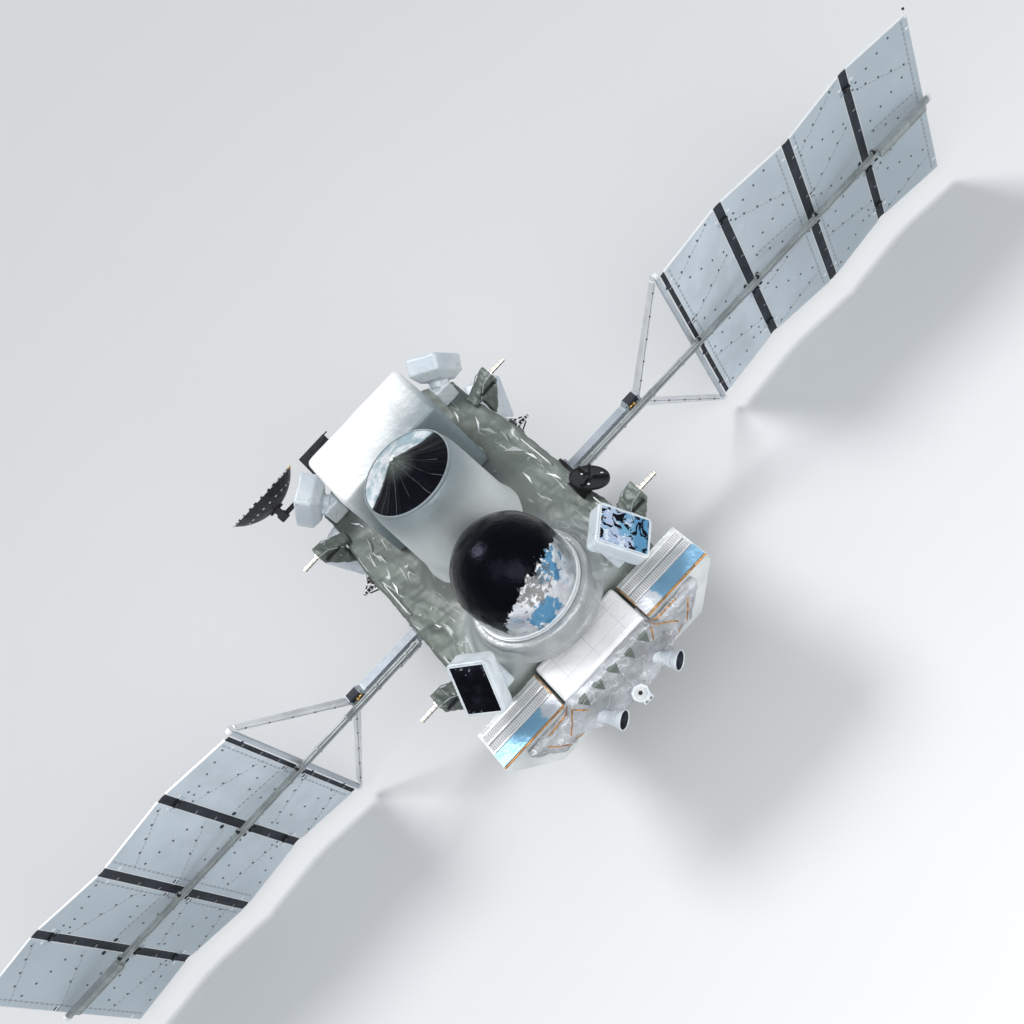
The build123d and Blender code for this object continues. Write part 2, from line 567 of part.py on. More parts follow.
def antenna_boom():
    """Tapered box arm with the shaft of its stow hinge and the shaft of the gimbal."""
    y = -DISH_C[1]
    side = [(ARM_ROOT_Y + y, ARM_TOP), (ARM_END_Y + y, ARM_TOP), (ARM_END_Y + y - 20, -430),
            (ARM_END_Y + y - 20, ARM_LOW), (ARM_ROOT_Y + y, ARM_LOW)]
    arm = prism(Plane.YZ.offset(-ARM_THICK / 2), side, ARM_THICK)
    gap = GIMBAL / 2 + 10 + GIMBAL_GAP
    arm += rod((0, ARM_END_Y + y, -AXIS_BACK), (0, gap, -AXIS_BACK), ARM_R)
    arm += rod((0, gap + 5, -AXIS_BACK), (0, GIMBAL / 2 - 45, -AXIS_BACK), GIMBAL_PIN_R)
    arm = antenna_plane().location * arm
    return arm + rod((STOW_OUT, *STOW_AXIS), (STOW_IN, *STOW_AXIS), STOW_R)


def antenna_bracket():
    """Bracket on the forward face with the running bore of the stow hinge."""
    front, half_w, half_h = STOW_BLOCK
    y, z = STOW_AXIS
    body = block(front, FWD_X, y - half_w, y + half_w, z - half_h, z + half_h)
    body = chamfer(body.edges().filter_by(Axis.X), 40)
    return body - rod((front - 1, y, z), (STOW_IN + 10, y, z), STOW_R + SHAFT_CLEAR)


def stationary():
    """Every piece of the main spacecraft, by name."""
    latch = [side_latch(LATCH_X[0], DECK_HALF, LATCH_Z),
             mirror(side_latch(LATCH_X[1], DECK_HALF, LATCH_Z), about=Plane.XZ)]
    trunnions = []
    fittings = []
    for x in (-LONGERON_X, LONGERON_X):
        trunnions += both_sides(longeron_trunnion(x))
        fittings += both_sides(trunnion_fitting(x))
    pieces = {
        "platform": platform(),
        "instrument_cover": instrument_cover(),
        "drum_telescope": drum_telescope(),
        "drum_cap": drum_cap(),
        "dome_telescope": dome_telescope(),
        "dome_collar": dome_collar(),
        "longeron_trunnions": trunnions,
        "trunnion_fittings": fittings,
        "keel_trunnion": keel_trunnion(),
        "grapple_fixture": grapple_fixture(),
        "grapple_bracket": grapple_bracket(),
        "power_module": module(),
        "data_module": mirror(module(), about=Plane.XZ),
        "louvre_panels": both_sides(louvre()),
        "radiator_strips": both_sides(radiator()),
        "aft_box": aft_box(),
        "aft_bulkhead": aft_bulkhead(),
        "orbit_thrusters": [orbit_thruster(y) for y in ORBIT_Y],
        "thruster_pods": thruster_pod(),
        "side_latches": latch,
        "array_drives": both_sides(array_drive()),
        "antenna_bracket": antenna_bracket(),
    }
    windows = []
    for name in DETECTORS:
        right, left = both_sides(detector(name))
        pieces["burst_detector_" + name + "_right"] = right
        pieces["burst_detector_" + name + "_left"] = left
        windows += both_sides(detector_window(name))
    pieces["detector_windows"] = windows
    return pieces


def right_wing():
    """Every piece of the right wing in wing coordinates (u, y, v), by name."""
    pieces = {
        "boom": wing_beam(),
        "yoke_upper": yoke_arm(-1),
        "yoke_lower": yoke_arm(1),
        "crossbar": crossbar(),
        "mast": mast(),
    }
    for i in range(4):
        pieces["panel_%d" % (i + 1)] = panel(i)
    return pieces


def moving():
    """Both wings and the antenna in the main frame, by name."""
    pieces = {}
    for name, shape in right_wing().items():
        right = wing_plane().location * shape
        pieces["wing_right_" + name] = right
        pieces["wing_left_" + name] = mirror(right, about=Plane.XZ)
    pieces["antenna_boom"] = antenna_boom()
    pieces["antenna_gimbal"] = antenna_gimbal()
    pieces["antenna_dish"] = dish()
    pieces["antenna_feed"] = antenna_feed()
    return pieces


def write(name, shape):
    """One STEP file for each piece."""
    solids = shape if isinstance(shape, list) else [shape]
    solids = [s for piece in solids for s in piece.solids()]
    export_step(Compound(children=solids) if len(solids) > 1 else solids[0], "parts/%s.step" % name)


os.makedirs("parts", exist_ok=True)
for node, piece in {**stationary(), **moving()}.items():
    write(node, piece)
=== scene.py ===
import sys

import json
from math import asin, cos, degrees, pi, radians, sin, sqrt

import bmesh
import bpy
import numpy as np
from mathutils import Matrix, Vector
from mathutils.bvhtree import BVHTree
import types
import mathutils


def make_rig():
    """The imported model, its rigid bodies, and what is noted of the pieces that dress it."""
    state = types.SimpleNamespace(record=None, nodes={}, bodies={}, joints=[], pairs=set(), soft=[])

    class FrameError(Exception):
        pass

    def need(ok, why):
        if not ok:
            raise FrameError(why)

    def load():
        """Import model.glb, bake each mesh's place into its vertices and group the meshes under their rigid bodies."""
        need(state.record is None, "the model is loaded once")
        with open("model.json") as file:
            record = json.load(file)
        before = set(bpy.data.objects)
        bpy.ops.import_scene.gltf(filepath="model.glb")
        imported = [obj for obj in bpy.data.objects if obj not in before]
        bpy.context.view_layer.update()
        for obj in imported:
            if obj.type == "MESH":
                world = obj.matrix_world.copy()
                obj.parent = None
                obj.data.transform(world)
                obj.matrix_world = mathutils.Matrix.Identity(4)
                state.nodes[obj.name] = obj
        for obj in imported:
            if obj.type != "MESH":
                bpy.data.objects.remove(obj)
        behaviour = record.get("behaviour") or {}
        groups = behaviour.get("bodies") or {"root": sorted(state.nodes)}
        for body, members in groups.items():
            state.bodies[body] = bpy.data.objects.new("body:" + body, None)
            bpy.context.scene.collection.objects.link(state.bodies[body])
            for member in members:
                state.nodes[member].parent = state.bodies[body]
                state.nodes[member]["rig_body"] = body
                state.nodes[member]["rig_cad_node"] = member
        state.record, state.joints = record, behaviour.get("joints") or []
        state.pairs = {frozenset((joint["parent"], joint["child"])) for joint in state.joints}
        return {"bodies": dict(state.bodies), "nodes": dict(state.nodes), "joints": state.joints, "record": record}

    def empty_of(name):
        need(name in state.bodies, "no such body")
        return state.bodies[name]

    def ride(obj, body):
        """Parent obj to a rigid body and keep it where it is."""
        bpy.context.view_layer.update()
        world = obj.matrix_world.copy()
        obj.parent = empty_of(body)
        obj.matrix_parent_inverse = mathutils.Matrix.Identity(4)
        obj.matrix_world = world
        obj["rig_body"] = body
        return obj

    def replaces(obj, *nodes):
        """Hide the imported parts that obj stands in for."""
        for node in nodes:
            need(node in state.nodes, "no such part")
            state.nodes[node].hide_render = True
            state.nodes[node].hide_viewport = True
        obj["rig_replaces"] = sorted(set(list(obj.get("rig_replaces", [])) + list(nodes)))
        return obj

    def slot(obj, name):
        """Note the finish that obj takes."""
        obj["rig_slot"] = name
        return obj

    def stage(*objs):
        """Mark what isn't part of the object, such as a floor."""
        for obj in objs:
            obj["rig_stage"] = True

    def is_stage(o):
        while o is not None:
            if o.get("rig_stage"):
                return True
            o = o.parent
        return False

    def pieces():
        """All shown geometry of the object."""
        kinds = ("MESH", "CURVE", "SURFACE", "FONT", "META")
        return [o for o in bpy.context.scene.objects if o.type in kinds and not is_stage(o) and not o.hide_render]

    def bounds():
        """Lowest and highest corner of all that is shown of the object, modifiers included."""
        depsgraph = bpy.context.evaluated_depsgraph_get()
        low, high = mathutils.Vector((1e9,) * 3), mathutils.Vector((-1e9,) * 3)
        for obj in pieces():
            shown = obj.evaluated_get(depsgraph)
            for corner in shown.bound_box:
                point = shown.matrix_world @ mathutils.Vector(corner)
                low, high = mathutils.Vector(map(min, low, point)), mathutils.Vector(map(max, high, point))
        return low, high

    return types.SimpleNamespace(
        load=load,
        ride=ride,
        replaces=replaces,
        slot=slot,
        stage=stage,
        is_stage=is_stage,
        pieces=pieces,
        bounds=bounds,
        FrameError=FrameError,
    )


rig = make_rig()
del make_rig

bl_info = {
    "name": "Observatory satellite",
    "version": (1, 0, 0),
    "blender": (4, 5, 0),
    "location": "3D View > Sidebar > Satellite",
    "description": "Blankets, films, wiring and trim for the packed observatory satellite",
    "category": "Object",
}

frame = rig.load()
CAD_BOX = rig.bounds()

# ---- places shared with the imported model, in metres ------------------------------
CAMERA_AT, CAMERA_TURN = (13.3285, 0.4375, 12.8536), (34.5279, 30.6374, 52.5652)
CAMERA_LENS, CAMERA_SENSOR, CAMERA_REACH = 41.667, 36.0, 800.0
FLOOR_Z, FLOOR_REACH = CAD_BOX[0].z - 0.32, 240.0
DECK_Z = -0.2
DRUM_X, DRUM_FOOT_R, RIM_Z, CAP_R, PEAK = 0.18, 0.86, 1.78, 0.715, 0.36
DOME_X, DOME_Z, DOME_R, COLLAR_R = 1.98, 0.70, 0.84, 0.985
MOD_TOP, TAIL_AFT = -0.50, 3.56
GRAPPLE_AT, GRAPPLE_TILT = (1.18, 1.80, -0.06), 34.0

WING_AT, WING_ANGLE = Vector((-0.74, 0.0, -1.57)), radians(98.85)
HINGE_Y, HINGE_V, HINGE_E, LEAN = 4.9425, 0.0462, 0.030, 6.0
PITCH, EDGE_GAP, PANEL_HALF, PANEL_T = 1.4487, 0.0885, 1.87, 0.028
# closeout strips: half their length, half their depth, and how far they run past a hinge axis
STRIP_HALF, STRIP_T, STRIP_PAST = 1.862, 0.003, 0.0026
BEAM_U, BEAM_V, BEAM_W, BEAM_T, HUB_Y = 0.020, 0.040, 0.26, 0.15, 3.40
YOKE_Y, YOKE_HALF = 4.878, 1.95
MAST_U, MAST_V, MAST_END = -0.040, 0.215, 10.64

# face centre of each right-hand detector, then the senses of its normal along x and z
DETECTORS = {
    "forward_upper": (-3.00, 1.67, 0.43, -1, 1),
    "forward_lower": (-3.10, 1.93, -1.29, -1, -1),
    "aft_upper": (2.80, 1.495, 0.44, 1, 1),
    "aft_lower": (2.32, 1.36, -1.92, 1, -1),
}
SIDES = {"right": 1, "left": -1}
THRUSTER_Z, THRUSTER_Y, THRUSTER_AIM = -1.08, (-0.60, 0.54), (0.85, 0.50, -0.12)
POD_Z, POD_TILT = -1.27, 35.0
DISH_AT, DISH_LEAN, DISH_R, DISH_DEPTH = (-4.45, -2.23, 0.0), 35.8, 0.76, 0.36


# ---- settings -----------------------------------------------------------------------
def length(name, description, default):
    """A property in metres."""
    return bpy.props.FloatProperty(name=name, description=description, default=default, unit="LENGTH",
                                   min=0.0)


def colour(name, description, default):
    """A colour property."""
    return bpy.props.FloatVectorProperty(name=name, description=description, default=default,
                                         subtype="COLOR", size=3, min=0.0, max=1.0)


def amount(name, description, default):
    """A plain number property."""
    return bpy.props.FloatProperty(name=name, description=description, default=default, min=0.0)


class BlanketSettings(bpy.types.PropertyGroup):
    """Thermal blankets and films"""

    cell: length("Cell", "Size of the cells that a blanket is meshed in", 0.036)
    fold: length("Fold", "Height of the folds in the deck blanket", 0.026)
    foil: colour("Foil", "Deck and side blanket", (0.118, 0.140, 0.125))
    taut: colour("Taut silver", "Drum and forward cover", (0.200, 0.245, 0.262))
    white: colour("White blanket", "Hoods and shrouds", (0.73, 0.775, 0.79))
    box: colour("Box white", "Cover of the aft box", (0.93, 0.935, 0.94))
    tail: colour("Tail", "Crinkled sheets over the aft bulkhead", (0.36, 0.375, 0.395))
    # Dark film: the painted dark reflection on the dome, the drum cap and the dark windows
    dark: colour("Dark film", "Dome and drum cap", (0.0030, 0.0033, 0.0055))
    # Blue film: the painted blue reflection on the dome, the blue windows and the radiators
    blue: colour("Blue film", "Blue areas of the films", (0.12, 0.31, 0.50))
    amber: colour("Amber tape", "Tape along the seams of the aft end", (0.50, 0.23, 0.05))


class WingSettings(bpy.types.PropertyGroup):
    """Solar wings"""

    back: colour("Panel back", "Paint on the backs of the panels", (0.50, 0.56, 0.615))
    paint: colour("Frame paint", "Booms, yokes and crossbars", (0.42, 0.465, 0.51))
    mast: colour("Mast", "Masts and their rails", (0.30, 0.33, 0.335))
    cell: colour("Solar cell", "Cells on the sunward faces", (0.012, 0.022, 0.075))
    closeout: colour("Closeout", "Dark strips along the hinge lines", (0.006, 0.009, 0.015))
    stud: length("Stud", "Diameter of the studs on the panel backs", 0.042)
    wire: length("Wire", "Width of the wiring on the panel backs", 0.009)


class StudioSettings(bpy.types.PropertyGroup):
    """Camera, lights and floor"""

    key: amount("Key", "Strength of the sun lamp", 1.55)
    soft: amount("Soft", "Strength of the large soft lamp", 3600.0)
    near: amount("Near", "Strength of the soft lamp above the camera side", 1200.0)
    fill: amount("Fill", "Strength of the world's light", 0.46)
    floor: colour("Floor", "Colour of the floor", (0.72, 0.73, 0.74))


# ---- shading ------------------------------------------------------------------------
class Value:
    """A shader socket that takes part in Python expressions."""

    def __init__(self, finish, socket):
        self.finish, self.socket = finish, socket

    def maths(self, operation, *values):
        """A Math node's result."""
        return self.finish.node("ShaderNodeMath", {"operation": operation}, dict(enumerate(values)))

    def __add__(self, other):
        return self.maths("ADD", self, other)

    def __mul__(self, other):
        return self.maths("MULTIPLY", self, other)

    __radd__, __rmul__ = __add__, __mul__

    def __sub__(self, other):
        return self.maths("SUBTRACT", self, other)

    def __rsub__(self, other):
        return self.maths("SUBTRACT", other, self)

    def __mod__(self, other):
        return self.maths("FLOORED_MODULO", self, other)

    def __abs__(self):
        return self.maths("ABSOLUTE", self)

    def __gt__(self, other):
        return self.maths("GREATER_THAN", self, other)

    def __lt__(self, other):
        return self.maths("LESS_THAN", self, other)


class Finish:
    """Nodes of a material or world in the making. Every node comes from node()."""

    def __init__(self, owner):
        self.owner = owner
        owner.use_nodes = True
        self.tree = owner.node_tree
        self.tree.nodes.clear()

    def node(self, kind, settings=None, sockets=None, out=0):
        """Adds a node: its settings first, then the values or links of its sockets."""
        node = self.tree.nodes.new(kind)
        for key, value in (settings or {}).items():
            setattr(node, key, value)
        for key, value in (sockets or {}).items():
            if isinstance(value, Value):
                self.tree.links.new(value.socket, node.inputs[key])
            else:
                node.inputs[key].default_value = value
        return Value(self, node.outputs[out]) if node.outputs else None

    def place(self, scale=(1.0, 1.0, 1.0)):
        """The point on the object in metres, scaled."""
        point = self.node("ShaderNodeTexCoord", out="Object")
        if scale == (1.0, 1.0, 1.0):
            return point
        return self.node("ShaderNodeMapping", {}, {"Vector": point, "Scale": scale})

    def parts(self):
        """The three parts of the place on the piece, as values."""
        first = self.node("ShaderNodeSeparateXYZ", {}, {0: self.place()})
        return [Value(self, socket) for socket in first.socket.node.outputs]

    def noise(self, scale, detail=3.0, rough=0.55, vector=None, distortion=0.0):
        """Cloudy noise from 0 to 1."""
        return self.node("ShaderNodeTexNoise", {}, {
            "Vector": vector or self.place(), "Scale": scale, "Detail": detail,
            "Roughness": rough, "Distortion": distortion})

    def cells(self, scale, vector=None):
        """Cellular noise: the distance to the nearest of many points."""
        sockets = {"Vector": vector or self.place(), "Scale": scale}
        return self.node("ShaderNodeTexVoronoi", {}, sockets, "Distance")

    def step(self, value, low, high):
        """0 below low, 1 above high, smooth between."""
        return self.node("ShaderNodeMapRange", {"interpolation_type": "SMOOTHSTEP"}, {
            "Value": value, "From Min": low, "From Max": high})

    def clouds(self, low, high, *noise, **more):
        """Noise spread from 0 below low to 1 above high."""
        return self.step(self.noise(*noise, **more), low, high)

    def lines(self, width, *noise, **more):
        """Fine wandering lines, 1 at their middle and 0 beyond a width."""
        return 1 - self.step(abs(self.noise(*noise, **more) - 0.5), 0.0, width)

    def mix(self, share, first, second):
        """Two colours mixed by a share."""
        first, second = ((*value, 1.0) if isinstance(value, tuple) else value for value in (first, second))
        return self.node("ShaderNodeMix", {"data_type": "RGBA"}, {0: share, 6: first, 7: second}, out=2)

    def bump(self, height, distance):
        """A normal from a height from 0 to 1."""
        return self.node("ShaderNodeBump", {}, {"Height": height, "Distance": distance})

    def grain(self, distance, *noise):
        """Bump of a plain noise."""
        return self.bump(self.noise(*noise), distance)

    def facets(self, coarse, fine, depth, stretch=(1.0, 1.0, 1.0)):
        """Bump of a crumpled sheet: flat facets with creases between them, over a finer grain."""
        where = self.place(stretch)
        height = (self.cells(coarse, vector=where) * 0.9 + self.cells(fine, vector=where) * 0.35
                  + self.noise(fine * 2.2, 4.0, 0.6, where) * 0.2)
        return self.bump(height, depth)

    def surface(self, **sockets):
        """Ends the material in a Principled shader; underscores stand for the spaces in its socket names."""
        named = {key.replace("_", " "): value for key, value in sockets.items()}
        if isinstance(named["Base Color"], tuple):
            named["Base Color"] = (*named["Base Color"], 1.0)
        shader = self.node("ShaderNodeBsdfPrincipled", {}, named)
        self.node("ShaderNodeOutputMaterial", {}, {"Surface": shader})
        return self.owner


def tuned(value, *factors):
    """A colour made lighter or darker, by one factor or by one for each part."""
    factors = factors * 3 if len(factors) == 1 else factors
    return tuple(min(1.0, part * factor) for part, factor in zip(value, factors))


def chosen(group, name):
    """A colour from the settings."""
    return tuple(getattr(getattr(bpy.context.scene, group), name))


# size of the mottling, its two colours, Metallic, Roughness, then depth and size of the grain
PLAIN = {
    "edge_trim": (6.0, (0.62, 0.65, 0.67), (0.84, 0.86, 0.87), 0.2, 0.35, 0.002, 30.0),
    "stud": (30.0, (0.020, 0.027, 0.034), (0.065, 0.085, 0.095), 0.1, 0.5, 0.002, 200.0),
    "wiring": (14.0, (0.16, 0.18, 0.20), (0.30, 0.32, 0.35), 0.0, 0.5, 0.001, 90.0),
    "slat": (4.0, (0.74, 0.74, 0.75), (0.92, 0.92, 0.92), 0.35, 0.28, 0.002, 20.0),
    "gold": (8.0, (0.55, 0.36, 0.10), (0.80, 0.58, 0.24), 0.9, 0.3, 0.002, 40.0),
    "tape": (12.0, (0.70, 0.71, 0.72), (0.88, 0.88, 0.88), 0.0, 0.45, 0.001, 60.0),
    "seam": (9.0, (0.52, 0.53, 0.56), (0.66, 0.67, 0.70), 0.0, 0.5, 0.0005, 60.0),
}


def plain(f, scale, first, second, metallic, roughness, depth, grain):
    """Mottled finish with an even grain."""
    return f.surface(Base_Color=f.mix(f.noise(scale), first, second), Metallic=metallic, Roughness=roughness,
                     Normal=f.grain(depth, grain))


def make_foil(f):
    """Crinkled aluminised blanket with painted shade towards -y, a painted sheen that makes it palest along the deck's
    middle and round the dome, and painted highlights along its creases.
    """
    base = chosen("blankets", "foil")
    x, y, z = f.parts()
    long_way = f.place((0.16, 1.0, 0.8))
    # painted shade: darker towards -y, over a random tone
    shade = f.step(y * 0.16 + f.noise(0.8, 2.0), 0.15, 0.75)
    tint = f.mix(shade, tuned(base, 0.80), tuned(base, 1.04))
    # painted sheen: paler along the middle of the deck's top
    centre = (1 - f.step(abs(y), 0.85, 1.35)) * f.step(z, -0.30, -0.22)
    tint = f.mix(centre * 0.8, tint, tuned(base, 1.30, 1.18, 1.26))
    tint = f.mix(f.clouds(0.40, 0.70, 1.6, 2.0, 0.5, long_way) * 0.30, tint, tuned(base, 1.45))
    away = (x - DOME_X) * (x - DOME_X) + y * y
    # painted sheen: paler round the dome
    skirt = (1 - f.step(away, (COLLAR_R + 0.10) ** 2, (COLLAR_R + 0.62) ** 2)) * f.step(z, -0.45, -0.25)
    tint = f.mix(skirt * 0.70, tint, (0.40, 0.44, 0.43))
    # painted highlights along the creases
    for scale, low, high in ((2.6, 0.50, 0.60), (5.2, 0.52, 0.60)):
        crease = f.lines(0.010, scale, 1.0, 0.4, long_way) * f.clouds(low, high, 1.9 + scale * 0.1)
        tint = f.mix(crease * 0.65, tint, (0.66, 0.70, 0.67))
    return f.surface(Base_Color=tint, Metallic=0.30, Roughness=f.noise(6.0) * 0.16 + 0.38,
                     Normal=f.facets(4.6, 17.0, 0.0045, (0.40, 1.0, 1.0)))


def make_taut(f):
    """Smooth silver blanket, pulled tight, paler towards its foot in painted light that offsets the shade the dome
    casts there.
    """
    base = chosen("blankets", "taut")
    z = f.parts()[2]
    cloud = f.clouds(0.3, 0.7, 0.9, 3.0, vector=f.place((1.0, 1.0, 0.55)))
    tint = f.mix(cloud, tuned(base, 0.86), tuned(base, 1.16))
    # painted light: the foot is paler where the dome shades it from the lamps
    tint = f.mix(1 - f.step(z, 0.4, 1.9), tint, (0.84, 0.88, 0.87))
    height = f.noise(3.2, 5.0, 0.6, f.place((1.0, 1.0, 0.35))) + f.cells(9.0) * 0.10
    return f.surface(Base_Color=tint, Metallic=0.22, Roughness=f.noise(5.0) * 0.16 + 0.36,
                     Normal=f.bump(height, 0.022))


def make_white(f):
    """White blanket with soft crinkles."""
    base = chosen("blankets", "white")
    cloud = f.clouds(0.3, 0.7, 1.7, 4.0)
    tint = f.mix(cloud, tuned(base, 0.82, 0.84, 0.93), tuned(base, 1.1))
    return f.surface(Base_Color=tint, Metallic=0.12, Roughness=f.noise(7.0) * 0.2 + 0.38,
                     Normal=f.facets(5.0, 19.0, 0.026))


def make_dome_film(f):
    """Mirror film with painted reflections: dark above, jagged at the fringe of the dark, silver and white with two
    blue patches towards aft.
    """
    way = facing(f, (DOME_X, 0.0, DOME_Z))
    _, y, z = f.parts()
    # the reflections are painted: dark above, bright towards aft, with a jagged edge between
    streaks = f.noise(9.0, 5.0, 0.75, f.place((1.0, 1.0, 0.40)))
    torn = streaks * 0.55 + f.cells(12.0) * 0.12
    edge = f.step(share_along(f, way, (-0.787, -0.244, 0.567)) + torn, -0.135, -0.115)
    low = f.step(z + streaks * 0.5, 0.36, 0.39)
    left = f.step(y * -1.0 + z * -0.35 + streaks * 0.25, 0.62, 0.66)
    # painted reflection in silver, white and grey
    bright = f.mix(f.clouds(0.36, 0.62, 2.6, 4.0, 0.55), (0.60, 0.62, 0.67), (0.93, 0.94, 0.95))
    bright = f.mix(f.clouds(0.60, 0.66, 7.0, 4.0, 0.6) * 0.7, bright, (0.34, 0.36, 0.40))
    # painted blue reflection in two patches
    for spot, reach in (((0.800, 0.555, 0.225), 0.972), ((0.985, -0.080, -0.270), 0.990)):
        close = share_along(f, way, spot) + f.noise(6.0, 4.0, 0.65) * 0.34
        near = f.step(close, reach + 0.163, reach + 0.178)
        bright = f.mix(near, bright, chosen("blankets", "blue"))
    # painted dark reflection in flecks
    fleck = f.step(share_along(f, way, (0.93, 0.10, 0.36)) + f.noise(14.0, 3.0, 0.7) * 0.5, 1.185, 1.215)
    bright = f.mix(fleck * 0.8, bright, (0.16, 0.15, 0.14))
    dark = chosen("blankets", "dark")
    # painted dark reflection of the sky
    night = f.mix(f.clouds(0.45, 0.8, 1.6, 4.0, 0.5), dark, tuned(dark, 1.6))
    tint = f.mix(edge * low * (1 - left), bright, night)
    return f.surface(Base_Color=tint, Metallic=0.97, Roughness=f.noise(4.0) * 0.12 + 0.16,
                     Normal=f.facets(5.0, 17.0, 0.006))


def make_cap_film(f):
    """Film drawn up to a peak, with painted reflections: dark, with a painted glare towards the peak, its forward half
    pale, and a few fine painted highlights along creases to the rim.
    """
    x, y, z = f.parts()
    fore = DRUM_X - x
    # painted reflection: the forward half is pale
    pale = f.step(fore + abs(y) * -0.10 + y * -0.12 + f.noise(7.0, 3.0) * 0.08, 0.02, 0.08)
    # painted glare towards the peak
    glow = f.step(z, RIM_Z + 0.16, RIM_Z + PEAK)
    night = f.mix(glow * 0.6, tuned(chosen("blankets", "dark"), 1.4), (0.16, 0.19, 0.17))
    day = f.mix(f.clouds(0.4, 0.6, 4.0, 3.0), (0.42, 0.56, 0.62), (0.90, 0.93, 0.95))
    turn = f.node("ShaderNodeMath", {"operation": "ARCTAN2"}, {0: y, 1: x - DRUM_X})
    # painted highlights along the creases to the rim
    crease = abs((turn * 2.35 + f.noise(1.3, 2.0, 0.5) * 0.7) % 1.0 - 0.5)
    streak = (1 - f.step(crease, 0.003, 0.016)) * f.clouds(0.36, 0.56, 3.0, 3.0)
    tint = f.mix(streak * 0.45, f.mix(pale, night, day), (0.36, 0.39, 0.38))
    ray = f.noise(1.0, 4.0, 0.8, f.node("ShaderNodeCombineXYZ", {}, {0: turn * 9.0, 1: z * 0.35}))
    return f.surface(Base_Color=tint, Metallic=0.95, Roughness=0.22, Normal=f.bump(ray, 0.016))


def make_blue_window(f):
    """Mirror film with painted reflections in pale blue and lavender, with jagged dark blobs and one solid blue
    corner.
    """
    where = f.place((1.0, 1.0, 0.8))
    x, y, z = f.parts()
    # painted reflection in pale blue and lavender
    tint = f.mix(f.clouds(0.46, 0.55, 3.4, 3.0, 0.5, where), (0.46, 0.55, 0.72), (0.19, 0.42, 0.60))
    tint = f.mix(f.clouds(0.55, 0.60, 9.0, 4.0, 0.6, where), tint, (0.72, 0.79, 0.88))
    # painted blue reflection in one corner
    corner = f.step(y * 0.6 + x * 0.5 + z * -0.5 + f.noise(5.0) * 0.12, 2.24, 2.27)
    tint = f.mix(corner, tint, chosen("blankets", "blue"))
    # painted dark reflection in blobs
    fleck = f.clouds(0.535, 0.55, 4.6, 4.0, 0.6, where, 2.2)
    tint = f.mix(fleck, tint, (0.004, 0.005, 0.010))
    return f.surface(Base_Color=tint, Metallic=0.9, Roughness=0.2, Normal=f.facets(7.0, 24.0, 0.006))


def make_dark_window(f):
    """Mirror film painted black as a dark reflection, with a faint cloud and painted highlights along a few wrinkles.
    """
    dark = chosen("blankets", "dark")
    # painted dark reflection
    tint = f.mix(f.clouds(0.45, 0.75, 2.4, 4.0), dark, tuned(dark, 6.0))
    # painted highlights along the wrinkles
    wrinkle = f.lines(0.010, 4.2, 3.0, 0.6, f.place((2.0, 1.0, 0.6))) * f.clouds(0.56, 0.62, 2.2)
    return f.surface(Base_Color=f.mix(wrinkle, tint, (0.75, 0.77, 0.80)), Metallic=0.97, Roughness=0.2,
                     Normal=f.facets(6.0, 22.0, 0.005))


def make_frame_paint(f):
    """Satin paint on the wing frames, darker inboard in painted shade, with scuffs."""
    base = chosen("wings", "paint")
    tint = f.mix(f.clouds(0.3, 0.7, 1.4, 4.0), tuned(base, 0.86), tuned(base, 1.12))
    # painted shade: the booms inboard of the hubs are darker
    tint = f.mix((1 - f.step(abs(f.parts()[1]), 3.18, 3.22)) * 0.55, tint, (0.20, 0.235, 0.285))
    tint = f.mix(f.clouds(0.66, 0.74, 22.0, 3.0, 0.7) * 0.5, tint, (0.30, 0.31, 0.30))
    return f.surface(Base_Color=tint, Metallic=0.15, Roughness=f.noise(9.0) * 0.15 + 0.34,
                     Normal=f.grain(0.0015, 60.0, 2.0))


def make_panel_back(f):
    """Satin blue-grey paint on the panel backs, darker outboard, black at the hinge lines."""
    base = chosen("wings", "back")
    tint = f.mix(f.clouds(0.3, 0.7, 0.8, 3.0), tuned(base, 0.96), tuned(base, 1.22))
    tint = f.mix(f.clouds(0.52, 0.72, 3.0, 5.0, 0.65) * 0.30, tint, tuned(base, 1.32))
    tint = f.mix(f.step(abs(f.parts()[1]), 5.6, 8.6) * 0.75, tint, tuned(base, 0.76, 0.80, 0.80))
    span = PITCH * cos(radians(LEAN)) + 2 * HINGE_E * sin(radians(LEAN))
    hinge = abs((abs(f.parts()[1]) - (HINGE_Y - span / 2)) % span - span / 2) < EDGE_GAP - 0.004
    tint = f.mix(hinge, tint, (0.010, 0.013, 0.018))
    return f.surface(Base_Color=tint, Metallic=0.10, Roughness=f.noise(4.0) * 0.14 + 0.36,
                     Normal=f.bump(f.noise(2.4, 3.0) + f.cells(90.0) * 0.05, 0.010))


def make_cell_glass(f):
    """Blue-black cover glass over rows of cells, each with its fine grid."""
    base = chosen("wings", "cell")
    _, y, z = f.parts()
    down, out = z * -1.012, abs(y)
    gap = abs((down * 25.0) % 1.0 - 0.5) > 0.465
    gap = gap + (abs((out * 16.0) % 1.0 - 0.5) > 0.475)
    tint = f.mix(f.noise(9.0, 2.0), base, tuned(base, 2.2))
    tint = f.mix(f.step(gap, 0.4, 0.6), tint, (0.16, 0.17, 0.19))
    return f.surface(Base_Color=tint, Metallic=0.1, Roughness=0.18, Coat_Weight=0.6, Coat_Roughness=0.06,
                     Normal=f.grain(0.004, 3.0))


def make_closeout(f):
    """Matt dark strip."""
    base = chosen("wings", "closeout")
    tint = f.mix(f.clouds(0.4, 0.7, 3.0, 5.0), base, tuned(base, 2.6))
    return f.surface(Base_Color=tint, Roughness=f.noise(8.0) * 0.2 + 0.55, Normal=f.grain(0.006, 18.0, 4.0))


